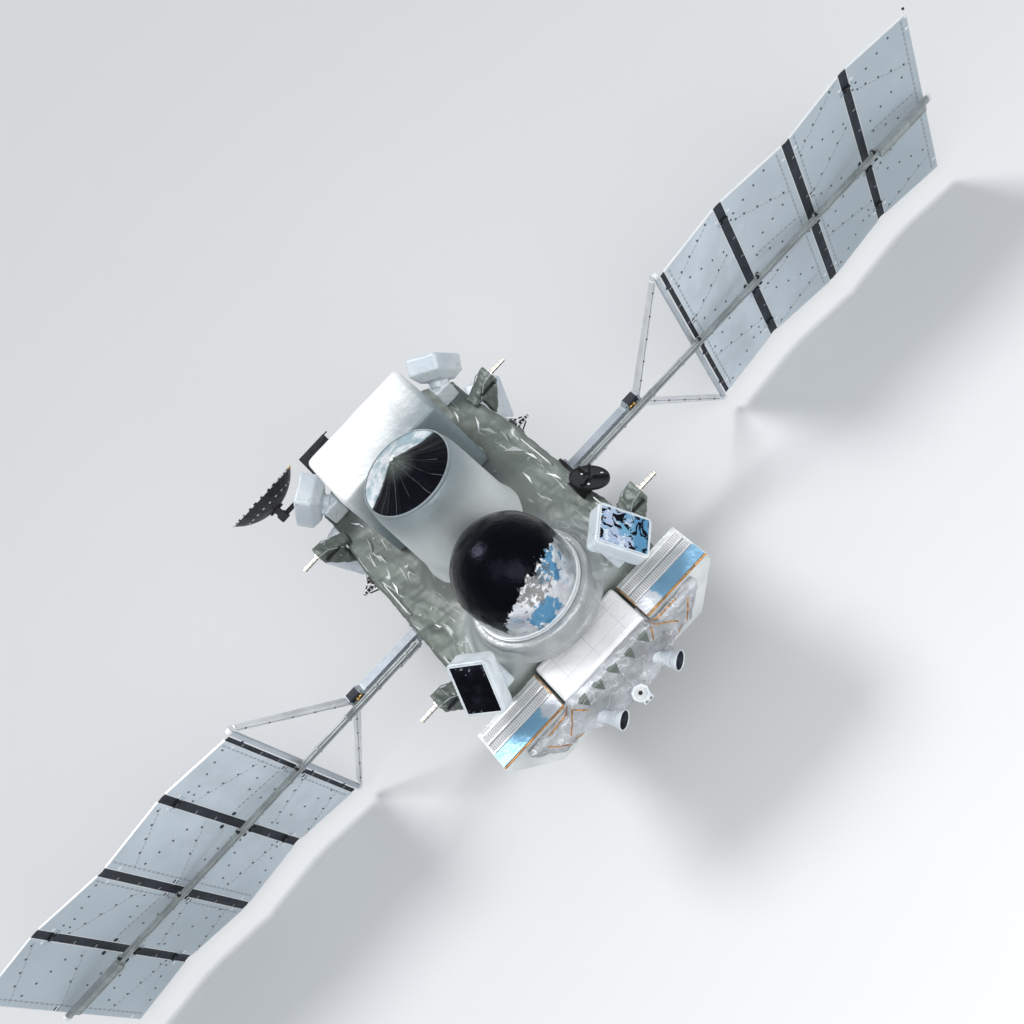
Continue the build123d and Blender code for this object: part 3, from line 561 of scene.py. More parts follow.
def make_dark_metal(f):
    """Matt black coated metal, rubbed bright in places."""
    worn = f.clouds(0.60, 0.72, 24.0, 5.0, 0.7)
    coat = f.mix(f.noise(5.0), (0.008, 0.008, 0.010), (0.030, 0.031, 0.034))
    tint = f.mix(worn * 0.6, coat, (0.26, 0.26, 0.25))
    return f.surface(Base_Color=tint, Metallic=0.6, Roughness=0.5 - worn * 0.15, Normal=f.grain(0.002, 45.0))


def make_bright_metal(f):
    """Machined trunnion steel, turned and lightly rubbed."""
    lathe = f.noise(2.0, 2.0, 0.5, f.place((30.0, 60.0, 30.0)))
    tint = f.mix(lathe, (0.50, 0.48, 0.43), (0.80, 0.77, 0.70))
    return f.surface(Base_Color=tint, Metallic=0.9, Roughness=lathe * 0.15 + 0.22,
                     Normal=f.bump(lathe, 0.001))


def make_black_blanket(f):
    """Black blanket with soft folds."""
    tint = f.mix(f.noise(3.0, 4.0), (0.006, 0.006, 0.009), (0.026, 0.026, 0.034))
    return f.surface(Base_Color=tint, Metallic=0.2, Roughness=f.noise(6.0) * 0.2 + 0.42,
                     Normal=f.facets(8.0, 26.0, 0.020))


def make_module_paint(f):
    """Grey-white module walls with faint seams."""
    tint = f.mix(f.clouds(0.3, 0.7, 1.5, 4.0), (0.50, 0.53, 0.53), (0.70, 0.72, 0.72))
    return f.surface(Base_Color=tint, Metallic=0.25, Roughness=f.noise(7.0) * 0.2 + 0.35,
                     Normal=f.facets(4.0, 16.0, 0.012))


def make_radiator(f):
    """Silvered film with a painted blue reflection, turning silver-grey in blotches at its inner end."""
    y = f.parts()[1]
    blotch = 1 - f.step(abs(y) + f.noise(4.5, 4.0, 0.6) * 0.5, 1.36, 1.42)
    # painted blue reflection
    tint = f.mix(f.noise(1.2), tuned(chosen("blankets", "blue"), 0.85), (0.24, 0.44, 0.60))
    grey = f.mix(f.noise(7.0), (0.42, 0.45, 0.50), (0.66, 0.68, 0.73))
    return f.surface(Base_Color=f.mix(blotch, tint, grey), Metallic=0.35, Roughness=0.28,
                     Normal=f.facets(5.0, 18.0, 0.005))


def make_amber(f):
    """Amber tape with darker, creased edges."""
    base = chosen("blankets", "amber")
    tint = f.mix(f.clouds(0.35, 0.65, 9.0, 4.0), tuned(base, 0.45), tuned(base, 1.25))
    return f.surface(Base_Color=tint, Metallic=0.35, Roughness=f.noise(12.0) * 0.25 + 0.25,
                     Normal=f.facets(16.0, 60.0, 0.006))


def make_floor(f):
    """Plain pale floor that keeps the object's shadow."""
    base = chosen("studio", "floor")
    return f.surface(Base_Color=f.mix(f.noise(0.3), tuned(base, 0.985), base), Roughness=0.8)


def make_cover_film(f):
    """Smooth silver cover whose forward top edge carries a white painted glare."""
    base = chosen("blankets", "taut")
    x, y, z = f.parts()
    # painted glare along the forward top edge
    glow = f.step(x * -0.55 + z * 0.55 + y * -0.30 + f.noise(2.2, 3.0) * 0.25, 1.10, 2.00)
    cloud = f.clouds(0.3, 0.7, 0.9, 3.0)
    tint = f.mix(cloud, tuned(base, 0.85), tuned(base, 1.15))
    height = f.noise(3.2, 5.0, 0.6) + f.cells(8.0) * 0.10
    return f.surface(Base_Color=f.mix(glow, tint, (0.96, 0.97, 0.98)), Metallic=0.30,
                     Roughness=f.noise(5.0) * 0.16 + 0.34, Normal=f.bump(height, 0.020))


def make_collar(f):
    """Grey silver blanket round the dome's foot."""
    cloud = f.clouds(0.3, 0.7, 1.5, 4.0)
    tint = f.mix(cloud, (0.30, 0.315, 0.32), (0.46, 0.475, 0.475))
    band = abs((f.parts()[2] * 14.0) % 1.0 - 0.5)
    tint = f.mix((1 - f.step(band, 0.0, 0.06)) * 0.35, tint, (0.75, 0.77, 0.77))
    return f.surface(Base_Color=tint, Metallic=0.45, Roughness=f.noise(7.0) * 0.16 + 0.30,
                     Normal=f.facets(4.0, 14.0, 0.016))


def make_box_white(f):
    """Bright white box cover, faintly quilted."""
    base = chosen("blankets", "box")
    x, y, _ = f.parts()
    tint = f.mix(f.clouds(0.35, 0.75, 2.4, 4.0), base, tuned(base, 0.90))
    grid = abs((x * 9.0) % 1.0 - 0.5) > 0.480
    grid = grid + (abs((y * 4.5) % 1.0 - 0.5) > 0.490)
    tint = f.mix(f.step(grid, 0.4, 0.6) * 0.15, tint, (0.60, 0.61, 0.65))
    return f.surface(Base_Color=tint, Roughness=f.noise(7.0) * 0.15 + 0.45, Normal=f.facets(3.0, 11.0, 0.010))


def make_tail_sheet(f):
    """Crinkled grey sheets with painted highlights along creases and painted shade in patches that stand for their
    hollows.
    """
    base = chosen("blankets", "tail")
    tint = f.mix(f.clouds(0.3, 0.7, 1.9, 4.0), tuned(base, 0.68), tuned(base, 1.45))
    # painted highlights along the creases
    tint = f.mix(f.lines(0.014, 3.2, 2.0, 0.5) * 0.6, tint, (0.88, 0.88, 0.90))
    # painted shade in the hollows
    hollow = f.clouds(0.66, 0.72, 4.6, 3.0, 0.6)
    tint = f.mix(hollow * 0.7, tint, (0.09, 0.09, 0.11))
    return f.surface(Base_Color=tint, Metallic=0.25, Roughness=f.noise(7.0) * 0.2 + 0.32,
                     Normal=f.facets(3.5, 13.0, 0.024))


def make_arm_paint(f):
    """Bright satin paint on the yoke arms."""
    tint = f.mix(f.clouds(0.3, 0.7, 1.8, 4.0), (0.56, 0.58, 0.61), (0.74, 0.76, 0.79))
    tint = f.mix(f.clouds(0.66, 0.74, 20.0, 3.0, 0.7) * 0.4, tint, (0.34, 0.35, 0.36))
    return f.surface(Base_Color=tint, Metallic=0.1, Roughness=f.noise(9.0) * 0.15 + 0.34,
                     Normal=f.grain(0.0015, 50.0, 2.0))


def make_mast_paint(f):
    """Grey satin mast with darker scuffs."""
    base = chosen("wings", "mast")
    tint = f.mix(f.clouds(0.3, 0.7, 2.2, 4.0), tuned(base, 0.78), tuned(base, 1.20))
    tint = f.mix(f.clouds(0.60, 0.70, 16.0, 3.0, 0.7) * 0.5, tint, (0.20, 0.20, 0.17))
    return f.surface(Base_Color=tint, Metallic=0.15, Roughness=f.noise(9.0) * 0.15 + 0.36,
                     Normal=f.grain(0.002, 40.0, 2.0))


def make_hood_paint(f):
    """Pale satin hood with a faint seam round it."""
    base = chosen("blankets", "white")
    cloud = f.clouds(0.3, 0.7, 1.7, 4.0)
    tint = f.mix(cloud, tuned(base, 0.80, 0.84, 0.90), base)
    tint = f.mix(f.lines(0.007, 2.0, 2.0, 0.5) * 0.5, tint, (0.30, 0.34, 0.38))
    return f.surface(Base_Color=tint, Metallic=0.15, Roughness=f.noise(7.0) * 0.2 + 0.36,
                     Normal=f.facets(3.0, 9.0, 0.012))


MAKERS = {name[5:]: maker for name, maker in list(globals().items()) if name.startswith("make_")}
FINISHES = {}


def finish(name):
    """The material of that name, made when it is first asked for."""
    if name not in FINISHES:
        f = Finish(bpy.data.materials.new(name))
        FINISHES[name] = plain(f, *PLAIN[name]) if name in PLAIN else MAKERS[name](f)
    return FINISHES[name]


# ---- meshes -------------------------------------------------------------------------
def show(name, mesh, body, slot, stands_for=()):
    """Puts a mesh in the scene as a piece that rides on a body."""
    piece = bpy.data.objects.new(name, mesh)
    bpy.context.scene.collection.objects.link(piece)
    if stands_for:
        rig.replaces(piece, *stands_for)
    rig.slot(piece, slot)
    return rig.ride(piece, body)


def paint_nodes(finish_name, *nodes):
    """Gives CAD nodes a finish."""
    for node in nodes:
        mesh = frame["nodes"][node].data
        mesh.materials.clear()
        mesh.materials.append(finish(finish_name))


class Trim:
    """Closed solids gathered into one mesh; place carries their points into the frame."""

    def __init__(self, place=None):
        self.place = place or Matrix.Identity(4)
        self.points, self.faces, self.kinds = [], [], []

    def add(self, points, faces, kind=0, place=None):
        """Adds one closed solid, turned right side out."""
        matrix = self.place @ place if place else self.place
        points = [matrix @ Vector(point) for point in points]
        volume = 0.0
        for face in faces:
            for i in range(1, len(face) - 1):
                volume += points[face[0]].dot(points[face[i]].cross(points[face[i + 1]]))
        start = len(self.points)
        self.points += points
        for face in faces:
            face = [start + i for i in face]
            self.faces.append(face if volume > 0 else face[::-1])
            self.kinds.append(kind)

    def loft(self, rings, kind=0, place=None):
        """Skin over rings of equal count, closed by a flat face at each end."""
        n = len(rings[0])
        faces = [list(range(n))[::-1], [(len(rings) - 1) * n + i for i in range(n)]]
        for k in range(len(rings) - 1):
            for i in range(n):
                j = (i + 1) % n
                faces.append([k * n + i, k * n + j, (k + 1) * n + j, (k + 1) * n + i])
        self.add([point for ring in rings for point in ring], faces, kind, place)

    def box(self, low, high, kind=0, place=None, soft=0.0):
        """Block between two corners; soft chamfers its four upright edges and its two ends."""
        (x0, y0, z0), (x1, y1, z1) = low, high
        if not soft:
            corners = [(x0, y0), (x1, y0), (x1, y1), (x0, y1)]
            self.loft([[(x, y, z) for x, y in corners] for z in (z0, z1)], kind, place)
            return
        c, rings = soft, []
        for d, z in ((c * 0.7, z0), (0.0, z0 + c), (0.0, z1 - c), (c * 0.7, z1)):
            rings.append([(x0 + d + c, y0 + d, z), (x1 - d - c, y0 + d, z), (x1 - d, y0 + d + c, z),
                          (x1 - d, y1 - d - c, z), (x1 - d - c, y1 - d, z), (x0 + d + c, y1 - d, z),
                          (x0 + d, y1 - d - c, z), (x0 + d, y0 + d + c, z)])
        self.loft(rings, kind, place)

    def pad(self, centre, half, heights, kind=0, soft=0.0):
        """Block over a point: half its size across and outward, and its two heights."""
        (x, y), (a, b), (low, high) = centre, half, heights
        self.box((x - a, y - b, low), (x + a, y + b, high), kind, soft=soft)

    def knob(self, radius, top, heights, kind=0, place=None, sides=24):
        """Round head with a chamfered top: its radius, that of its top, and three heights."""
        self.turned([(radius, heights[0]), (radius, heights[1]), (top, heights[2])], kind, place, sides)

    def turned(self, profile, kind=0, place=None, sides=24):
        """Solid of revolution about the local z axis from (r, z) stations."""
        turns = [2 * pi * i / sides for i in range(sides)]
        self.loft([[(r * cos(a), r * sin(a), z) for a in turns] for r, z in profile], kind, place)

    def pipe(self, path, radius, kind=0, sides=8):
        """Round tube that follows a path."""
        path = [Vector(point) for point in path]
        turns = [2 * pi * k / sides for k in range(sides)]
        spokes = [(cos(a) * radius, sin(a) * radius) for a in turns]
        rings, side = [], None
        for i, point in enumerate(path):
            along = (path[min(i + 1, len(path) - 1)] - path[max(i - 1, 0)]).normalized()
            if side is None:
                side = along.orthogonal().normalized()
            side = (side - along * side.dot(along)).normalized()
            other = along.cross(side)
            rings.append([point + side * c + other * s for c, s in spokes])
        self.loft(rings, kind)

    def ring(self, profile, kind=0, place=None, sides=96):
        """Hoop about the local z axis with a closed (r, z) profile."""
        n = len(profile)
        turns = [2 * pi * i / sides for i in range(sides)]
        points = [(r * cos(a), r * sin(a), z) for a in turns for r, z in profile]
        faces = [[i * n + k, i * n + (k + 1) % n, (i + 1) % sides * n + (k + 1) % n, (i + 1) % sides * n + k]
                 for i in range(sides) for k in range(n)]
        self.add(points, faces, kind, place)

    def piece(self, name, finishes, slot, stands_for=(), body="spacecraft", sharp=35.0):
        """The gathered solids as one piece that rides on a body."""
        mesh = bpy.data.meshes.new(name)
        mesh.from_pydata([tuple(point) for point in self.points], [], self.faces)
        for finish_name in finishes:
            mesh.materials.append(finish(finish_name))
        mesh.polygons.foreach_set("material_index", self.kinds)
        mesh.polygons.foreach_set("use_smooth", [True] * len(self.faces))
        mesh.set_sharp_from_angle(angle=radians(sharp))
        mesh.update()
        return show(name, mesh, body, slot, stands_for)


def melted(node, cell, ease):
    """A CAD node's mesh, rebuilt in even cells and eased."""
    whole = bmesh.new()
    whole.from_mesh(frame["nodes"][node].data)
    bmesh.ops.remove_doubles(whole, verts=whole.verts, dist=1e-5)
    mesh = bpy.data.meshes.new("melt")
    whole.to_mesh(mesh)
    whole.free()
    source = bpy.data.objects.new("melt", mesh)
    bpy.context.scene.collection.objects.link(source)
    cells = source.modifiers.new("Cells", "REMESH")
    cells.mode, cells.voxel_size = "VOXEL", cell
    smooth = source.modifiers.new("Ease", "SMOOTH")
    smooth.factor, smooth.iterations = 0.5, ease
    bpy.context.view_layer.update()
    made = bpy.data.meshes.new_from_object(source.evaluated_get(bpy.context.evaluated_depsgraph_get()))
    bpy.data.objects.remove(source)
    return made


def points_of(mesh):
    """A mesh's vertices and their normals, as arrays."""
    points = np.zeros(len(mesh.vertices) * 3)
    normals = np.zeros(len(mesh.vertices) * 3)
    mesh.vertices.foreach_get("co", points)
    mesh.vertex_normals.foreach_get("vector", normals)
    return points.reshape(-1, 3), normals.reshape(-1, 3)


def set_points(mesh, points):
    """Puts an array of places back into a mesh."""
    mesh.vertices.foreach_set("co", points.astype(np.float32).ravel())
    mesh.update()


def folds(points, size, seed):
    """Height from -1 to 1 of a crumpled sheet: eight layers of flat facets that meet in creases."""
    rng = np.random.default_rng(seed)
    total, weight = np.zeros(len(points)), 0.0
    for _ in range(8):
        along = rng.normal(size=3)
        along /= np.linalg.norm(along)
        bend = rng.normal(size=3)
        bend /= np.linalg.norm(bend)
        wave = size * 2.0 ** rng.uniform(-1.0, 1.0)
        phase = (points @ along) / wave + rng.uniform()
        phase = phase + 0.30 * np.sin(points @ bend * 2 * np.pi / (wave * 3.1))
        total += (np.abs(phase % 1.0 - 0.5) * 4.0 - 1.0) * wave
        weight += wave
    return total / weight * 1.9


def clouds(points, size, seed):
    """Slow noise from 0 to 1."""
    rng = np.random.default_rng(seed)
    total = np.zeros(len(points))
    for _ in range(6):
        along = rng.normal(size=3)
        along /= np.linalg.norm(along) * size * 2.0 ** rng.uniform(-0.5, 0.5)
        total += np.sin(points @ along * 2 * np.pi + rng.uniform(0, 6.28))
    return 1.0 / (1.0 + np.exp(-total * 0.9))


def crumple(mesh, size, depth, seed, calm):
    """Folds a mesh along its normals; calm is the least share of the depth."""
    points, normals = points_of(mesh)
    strength = calm + (1.0 - calm) * clouds(points, size * 4.0, seed + 50)
    height = folds(points, size, seed) + 0.45 * folds(points, size * 0.36, seed + 7)
    set_points(mesh, points + normals * (depth * height * strength)[:, None])


def blanket(name, node, finish_name, slot, seed, cell, size, depth, ease, calm, shape=None):
    """A crumpled blanket on the main body that stands for a CAD node; shape moves its points first."""
    mesh = melted(node, cell, ease)
    if shape:
        shape(mesh)
    crumple(mesh, size, depth, seed, calm)
    mesh.materials.clear()
    mesh.materials.append(finish(finish_name))
    mesh.polygons.foreach_set("use_smooth", [True] * len(mesh.polygons))
    mesh.polygons.foreach_set("material_index", [0] * len(mesh.polygons))
    mesh.update()
    return show(name, mesh, "spacecraft", slot, [node])


def facing(f, centre):
    """Unit direction from a centre to the surface."""
    offset = f.node("ShaderNodeVectorMath", {"operation": "SUBTRACT"}, {0: f.place(), 1: centre})
    return f.node("ShaderNodeVectorMath", {"operation": "NORMALIZE"}, {0: offset})


def share_along(f, direction, way):
    """How much of a direction lies along another."""
    return f.node("ShaderNodeVectorMath", {"operation": "DOT_PRODUCT"}, {0: direction, 1: way}, out="Value")


def laid(trim, surface, start, end, width, cast, kind=0, lift=0.003):
    """Tape laid on a surface below a straight line; cast is the way down to it."""
    step, back = 0.04, 0.6
    start, end, cast = Vector(start), Vector(end), Vector(cast).normalized()
    along = (end - start).normalized()
    side = cast.cross(along).normalized() * (width / 2)
    rings = []
    count = max(2, int((end - start).length / step))
    for i in range(count + 1):
        point = start.lerp(end, i / count)
        spot = surface.ray_cast(point - cast * back, cast)[0]
        if spot is None:
            continue
        up = -cast * lift
        rings.append([spot + side + up, spot - side + up, spot - side - up, spot + side - up])
    if len(rings) > 1:
        trim.loft(rings, kind)


def tree_of(piece):
    """A piece's surface, for laying tape on it."""
    mesh = piece.data
    return BVHTree.FromPolygons([v.co for v in mesh.vertices], [p.vertices for p in mesh.polygons])


def moved(x, y, z):
    """Place moved along the three axes."""
    return Matrix.Translation((x, y, z))


def aimed(at, way, roll=(0, 0, 1)):
    """Place whose z axis points along a way."""
    z = Vector(way).normalized()
    x = Vector(roll).cross(z).normalized()
    return Matrix.Translation(at) @ Matrix((x, z.cross(x), z)).transposed().to_4x4()


# ---- places on the wings -------------------------------------------------------------
def wing_place(side):
    """Wing coordinates (across, outward, towards the mast) to the frame."""
    c, s = cos(WING_ANGLE), sin(WING_ANGLE)
    right = Matrix(((c, 0, s, WING_AT.x), (0, 1, 0, 0), (-s, 0, c, WING_AT.z), (0, 0, 0, 1)))
    return Matrix.Diagonal((1, side, 1, 1)) @ right


def panel_place(side, index):
    """Panel coordinates, from its inner hinge axis, to the frame, and the side its mid-plane is on."""
    y, v = HINGE_Y, HINGE_V
    for i in range(index + 1):
        way = 1 if i % 2 == 0 else -1
        lean = radians(-way * LEAN)
        if i == index:
            break
        y, v = (y + PITCH * cos(lean) - 2 * way * HINGE_E * sin(lean),
                v + PITCH * sin(lean) + 2 * way * HINGE_E * cos(lean))
    return wing_place(side) @ moved(0, y, v) @ Matrix.Rotation(lean, 4, "X"), way


def detector_place(name, side):
    """Face coordinates of a burst detector, its z axis outward, to the frame."""
    x, y, z, fore, up = DETECTORS[name]
    normal = Vector((fore, 1, up)).normalized()
    level = normal.cross(Vector((0, 0, 1))).normalized()
    across = normal.cross(level)
    turn = Matrix((level, across, normal)).transposed().to_4x4()
    return Matrix.Diagonal((1, side, 1, 1)) @ moved(x, y, z) @ turn


# ---- operators ----------------------------------------------------------------------
class SATELLITE_OT_stage(bpy.types.Operator):
    """Camera, lamps, world and floor"""

    bl_idname = "satellite.stage"
    bl_label = "Stage"

    def execute(self, context):
        scene, studio = context.scene, context.scene.studio
        camera = bpy.data.objects.new("camera", bpy.data.cameras.new("camera"))
        camera.data.lens, camera.data.clip_end = CAMERA_LENS, CAMERA_REACH
        camera.data.sensor_width, camera.data.sensor_fit = CAMERA_SENSOR, "HORIZONTAL"
        camera.location = CAMERA_AT
        camera.rotation_euler = [radians(angle) for angle in CAMERA_TURN]
        scene.collection.objects.link(camera)
        scene.camera = camera
        scene.view_settings.view_transform = "Standard"
        self.lamp("key", "SUN", (-8, -3, 13), studio.key).angle = radians(20)
        self.lamp("soft", "AREA", (24, 5, 15), studio.soft).size = 17.0
        self.lamp("near", "AREA", (14, -5, 24), studio.near).size = 13.0
        self.world(scene, studio.fill)
        floor = bpy.data.meshes.new("floor")
        floor.from_pydata([(x * FLOOR_REACH, y * FLOOR_REACH, FLOOR_Z)
                           for x, y in ((-1, -1), (1, -1), (1, 1), (-1, 1))], [], [(0, 1, 2, 3)])
        floor.materials.append(finish("floor"))
        ground = bpy.data.objects.new("floor", floor)
        scene.collection.objects.link(ground)
        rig.stage(ground)
        return {"FINISHED"}

    @staticmethod
    def lamp(name, kind, place, energy):
        """Data of a new lamp that points at the body of the object and doesn't show itself."""
        data = bpy.data.lights.new(name, kind)
        data.energy = energy
        lamp = bpy.data.objects.new(name, data)
        lamp.location = place
        lamp.rotation_mode = "QUATERNION"
        lamp.rotation_quaternion = (Vector((0, 0, -0.8)) - Vector(place)).to_track_quat("-Z", "Y")
        lamp.visible_camera = False
        bpy.context.scene.collection.objects.link(lamp)
        return data

    @staticmethod
    def world(scene, fill):
        """Even pale light; the camera, reflections and clear things see it at full strength."""
        light = Finish(bpy.data.worlds.new("world"))
        scene.world = light.owner
        seen, glossy, clear = (light.node("ShaderNodeLightPath", out="Is %s Ray" % kind)
                               for kind in ("Camera", "Glossy", "Transmission"))
        white = light.step(seen + glossy + clear, 0.0, 0.5)
        background = light.node("ShaderNodeBackground", {}, {
            "Color": (0.93, 0.96, 1.0, 1.0), "Strength": white * (1.0 - fill) + fill})
        light.node("ShaderNodeOutputWorld", {}, {"Surface": background})


class SATELLITE_OT_deck(bpy.types.Operator):
    """Crinkled foil over the deck beam, drawn up round the collar and the drum"""

    bl_idname = "satellite.deck"
    bl_label = "Deck blanket"

    # places on the deck, turns and lengths of the loose white flaps
    FLAPS = ((-1.55, 1.30, 14, 0.30), (-1.15, 1.50, -12, 0.26), (-0.75, 1.28, 30, 0.28),
             (-0.40, 1.48, 6, 0.24), (-1.85, 1.42, -28, 0.24), (0.30, 1.44, 12, 0.24),
             (-2.35, 1.25, -20, 0.22), (-0.10, 1.22, -9, 0.24), (-1.30, -1.42, 10, 0.26),
             (-1.75, -1.32, -16, 0.26), (0.75, -1.42, 5, 0.24), (-0.55, -1.48, -14, 0.22),
             (-2.30, -1.36, 18, 0.24), (2.10, 1.24, 20, 0.18))

    def execute(self, context):
        s = context.scene.blankets
        deck = blanket("deck_blanket", "platform", "foil", "silver_blanket", 11, s.cell, 0.42, s.fold * 0.7,
                       ease=3, calm=0.35, shape=self.drape)
        surface = tree_of(deck)
        trim = Trim()
        for x, y, turn, size in self.FLAPS:
            spot = surface.ray_cast(Vector((x, y, 2.0)), Vector((0, 0, -1)))[0]
            place = Matrix.Translation(spot) @ Matrix.Rotation(radians(turn), 4, "Z")
            outline = [(0.0, 0.0), (size * 1.5, size * 0.06), (size * 0.8, size * 0.20)]
            rings = [[(a, b, -0.03) for a, b in outline],
                     [(a, b, 0.012 + 0.06 * (b > 0.05)) for a, b in outline]]
            trim.loft(rings, 0, place)
        trim.piece("deck_flaps", ["edge_trim"], "silver_blanket")
        return {"FINISHED"}

    @staticmethod
    def drape(mesh):
        """Sweeps the blanket up to the dome and drum, ridged round the dome and folded along its sides."""
        points, normals = points_of(mesh)
        top = (points[:, 2] > DECK_Z - 0.06) & (normals[:, 2] > 0.3)
        x, y = points[:, 0], points[:, 1]
        rise = np.zeros(len(points))
        for centre, radius, height, reach in ((DOME_X, COLLAR_R, 0.30, 0.34),
                                              (DRUM_X, DRUM_FOOT_R, 0.22, 0.34)):
            away = np.hypot(x - centre, y) - radius
            rise = np.maximum(rise, height * np.clip(1.0 - away / reach, 0.0, 1.0) ** 2)
        round_dome = np.hypot(x - DOME_X, y)
        aft = np.clip((x - 1.2) / 0.8, 0.0, 1.0)
        for radius, height, width in ((1.13, 0.055, 0.035), (1.29, 0.045, 0.040), (1.46, 0.035, 0.040)):
            bow = radius + 0.08 * np.sin(3.0 * y)
            rise += height * aft * np.exp(-((round_dome - bow) / width) ** 2)
        points[:, 2] += np.where(top, rise, 0.0)
        edge = np.clip((np.abs(y) - 0.95) / 0.5, 0.0, 1.0) * np.clip((1.6 - x) / 0.6, 0.15, 1.0)
        ridges = folds(points * (0.45, 1.0, 0.5), 0.26, 17)
        set_points(mesh, points + normals * (0.017 * edge * ridges)[:, None])


class SATELLITE_OT_telescopes(bpy.types.Operator):
    """Forward cover, drum with its peaked cap, and dome with its collar"""

    bl_idname = "satellite.telescopes"
    bl_label = "Telescopes"

    def execute(self, context):
        blanket("cover_blanket", "instrument_cover", "cover_film", "silver_blanket", 21, 0.040, 0.60, 0.007,
                ease=3, calm=0.2)
        blanket("drum_blanket", "drum_telescope", "taut", "silver_blanket", 23, 0.036, 0.70, 0.005,
                ease=2, calm=0.2, shape=self.flare)
        self.cap()
        self.dome()
        blanket("collar_blanket", "dome_collar", "collar", "white_blanket", 27, 0.028, 0.45, 0.010,
                ease=3, calm=0.3)
        return {"FINISHED"}

    @staticmethod
    def flare(mesh):
        """Spreads the foot of the drum's blanket over the deck."""
        points = points_of(mesh)[0]
        away = points[:, :2] - (DRUM_X, 0.0)
        lift = 0.10 * np.clip((0.35 - points[:, 2]) / 0.55, 0.0, 1.0) ** 2
        reach = np.hypot(away[:, 0], away[:, 1])
        points[:, :2] += away * (lift * (reach > 0.5) / np.maximum(reach, 0.1))[:, None]
        set_points(mesh, points)

    @staticmethod
    def cap():
        """Film drawn up to a peak, with creases from the peak to the rim."""
        trim = Trim(moved(DRUM_X, 0, 0))
        rng = np.random.default_rng(5)
        sides = 96
        turns = np.arange(sides) * 2 * pi / sides
        ripple = sum(rng.uniform(0.3, 1.0) * np.cos(n * turns + rng.uniform(0, 6.28))
                     for n in (5, 9, 14, 19, 26, 31))
        rings = []
        for share in (0.0, 0.02, 0.10, 0.22, 0.36, 0.52, 0.68, 0.84, 0.95, 1.0):
            r = CAP_R * (1.0 - share) + 0.022 * share
            sag = -0.030 * sin(pi * share)
            high = RIM_Z + PEAK * share + sag
            depth = 0.006 * sin(pi * min(1.0, share * 1.02)) ** 0.7 if 0.0 < share < 1.0 else 0.0
            rings.append([(r * cos(a), r * sin(a), high + depth * ripple[i] * 0.6)
                          for i, a in enumerate(turns)])
        base = [[(CAP_R * cos(a), CAP_R * sin(a), RIM_Z - 0.06) for a in turns]]
        trim.loft(base + rings)
        trim.turned([(0.020, RIM_Z + PEAK - 0.004), (0.030, RIM_Z + PEAK), (0.026, RIM_Z + PEAK + 0.010)], 1)
        trim.piece("cap_film", ["cap_film", "tape"], "mirror_film", ["drum_cap"], sharp=60.0)
        band = Trim(moved(DRUM_X, 0, 0))
        band.ring([(0.742, RIM_Z - 0.044), (0.750, RIM_Z - 0.036), (0.748, RIM_Z - 0.008),
                   (0.738, RIM_Z + 0.004), (0.724, RIM_Z + 0.002), (0.722, RIM_Z - 0.036)])
        band.piece("cap_rim", ["taut"], "silver_blanket")

    @staticmethod
    def dome():
        """Film over the dome, puckered where it meets the collar, and the bands round its foot."""
        sides = 120
        turns = np.arange(sides) * 2 * pi / sides
        heights = [(DOME_R, z) for z in np.linspace(DECK_Z, DOME_Z, 14)[:-1]]
        heights += [(DOME_R * cos(a), DOME_Z + DOME_R * sin(a))
                    for a in np.linspace(0, pi / 2, 22)[:-1]]
        heights.append((0.02, DOME_Z + DOME_R - 0.0005))
        trim = Trim()
        trim.loft([[(DOME_X + r * cos(a), r * sin(a), z) for a in turns] for r, z in heights])
        piece = trim.piece("dome_film", ["dome_film"], "mirror_film", ["dome_telescope"], sharp=80.0)
        crumple(piece.data, 0.34, 0.005, 31, 0.4)
        band = Trim(moved(DOME_X, 0, 0))
        for r, z in ((DOME_R + 0.004, 0.24), (DOME_R + 0.016, 0.20)):
            band.ring([(r - 0.012, z - 0.016), (r + 0.008, z - 0.014), (r + 0.010, z + 0.010),
                       (r - 0.010, z + 0.014)])
        band.piece("dome_bands", ["edge_trim"], "white_blanket")


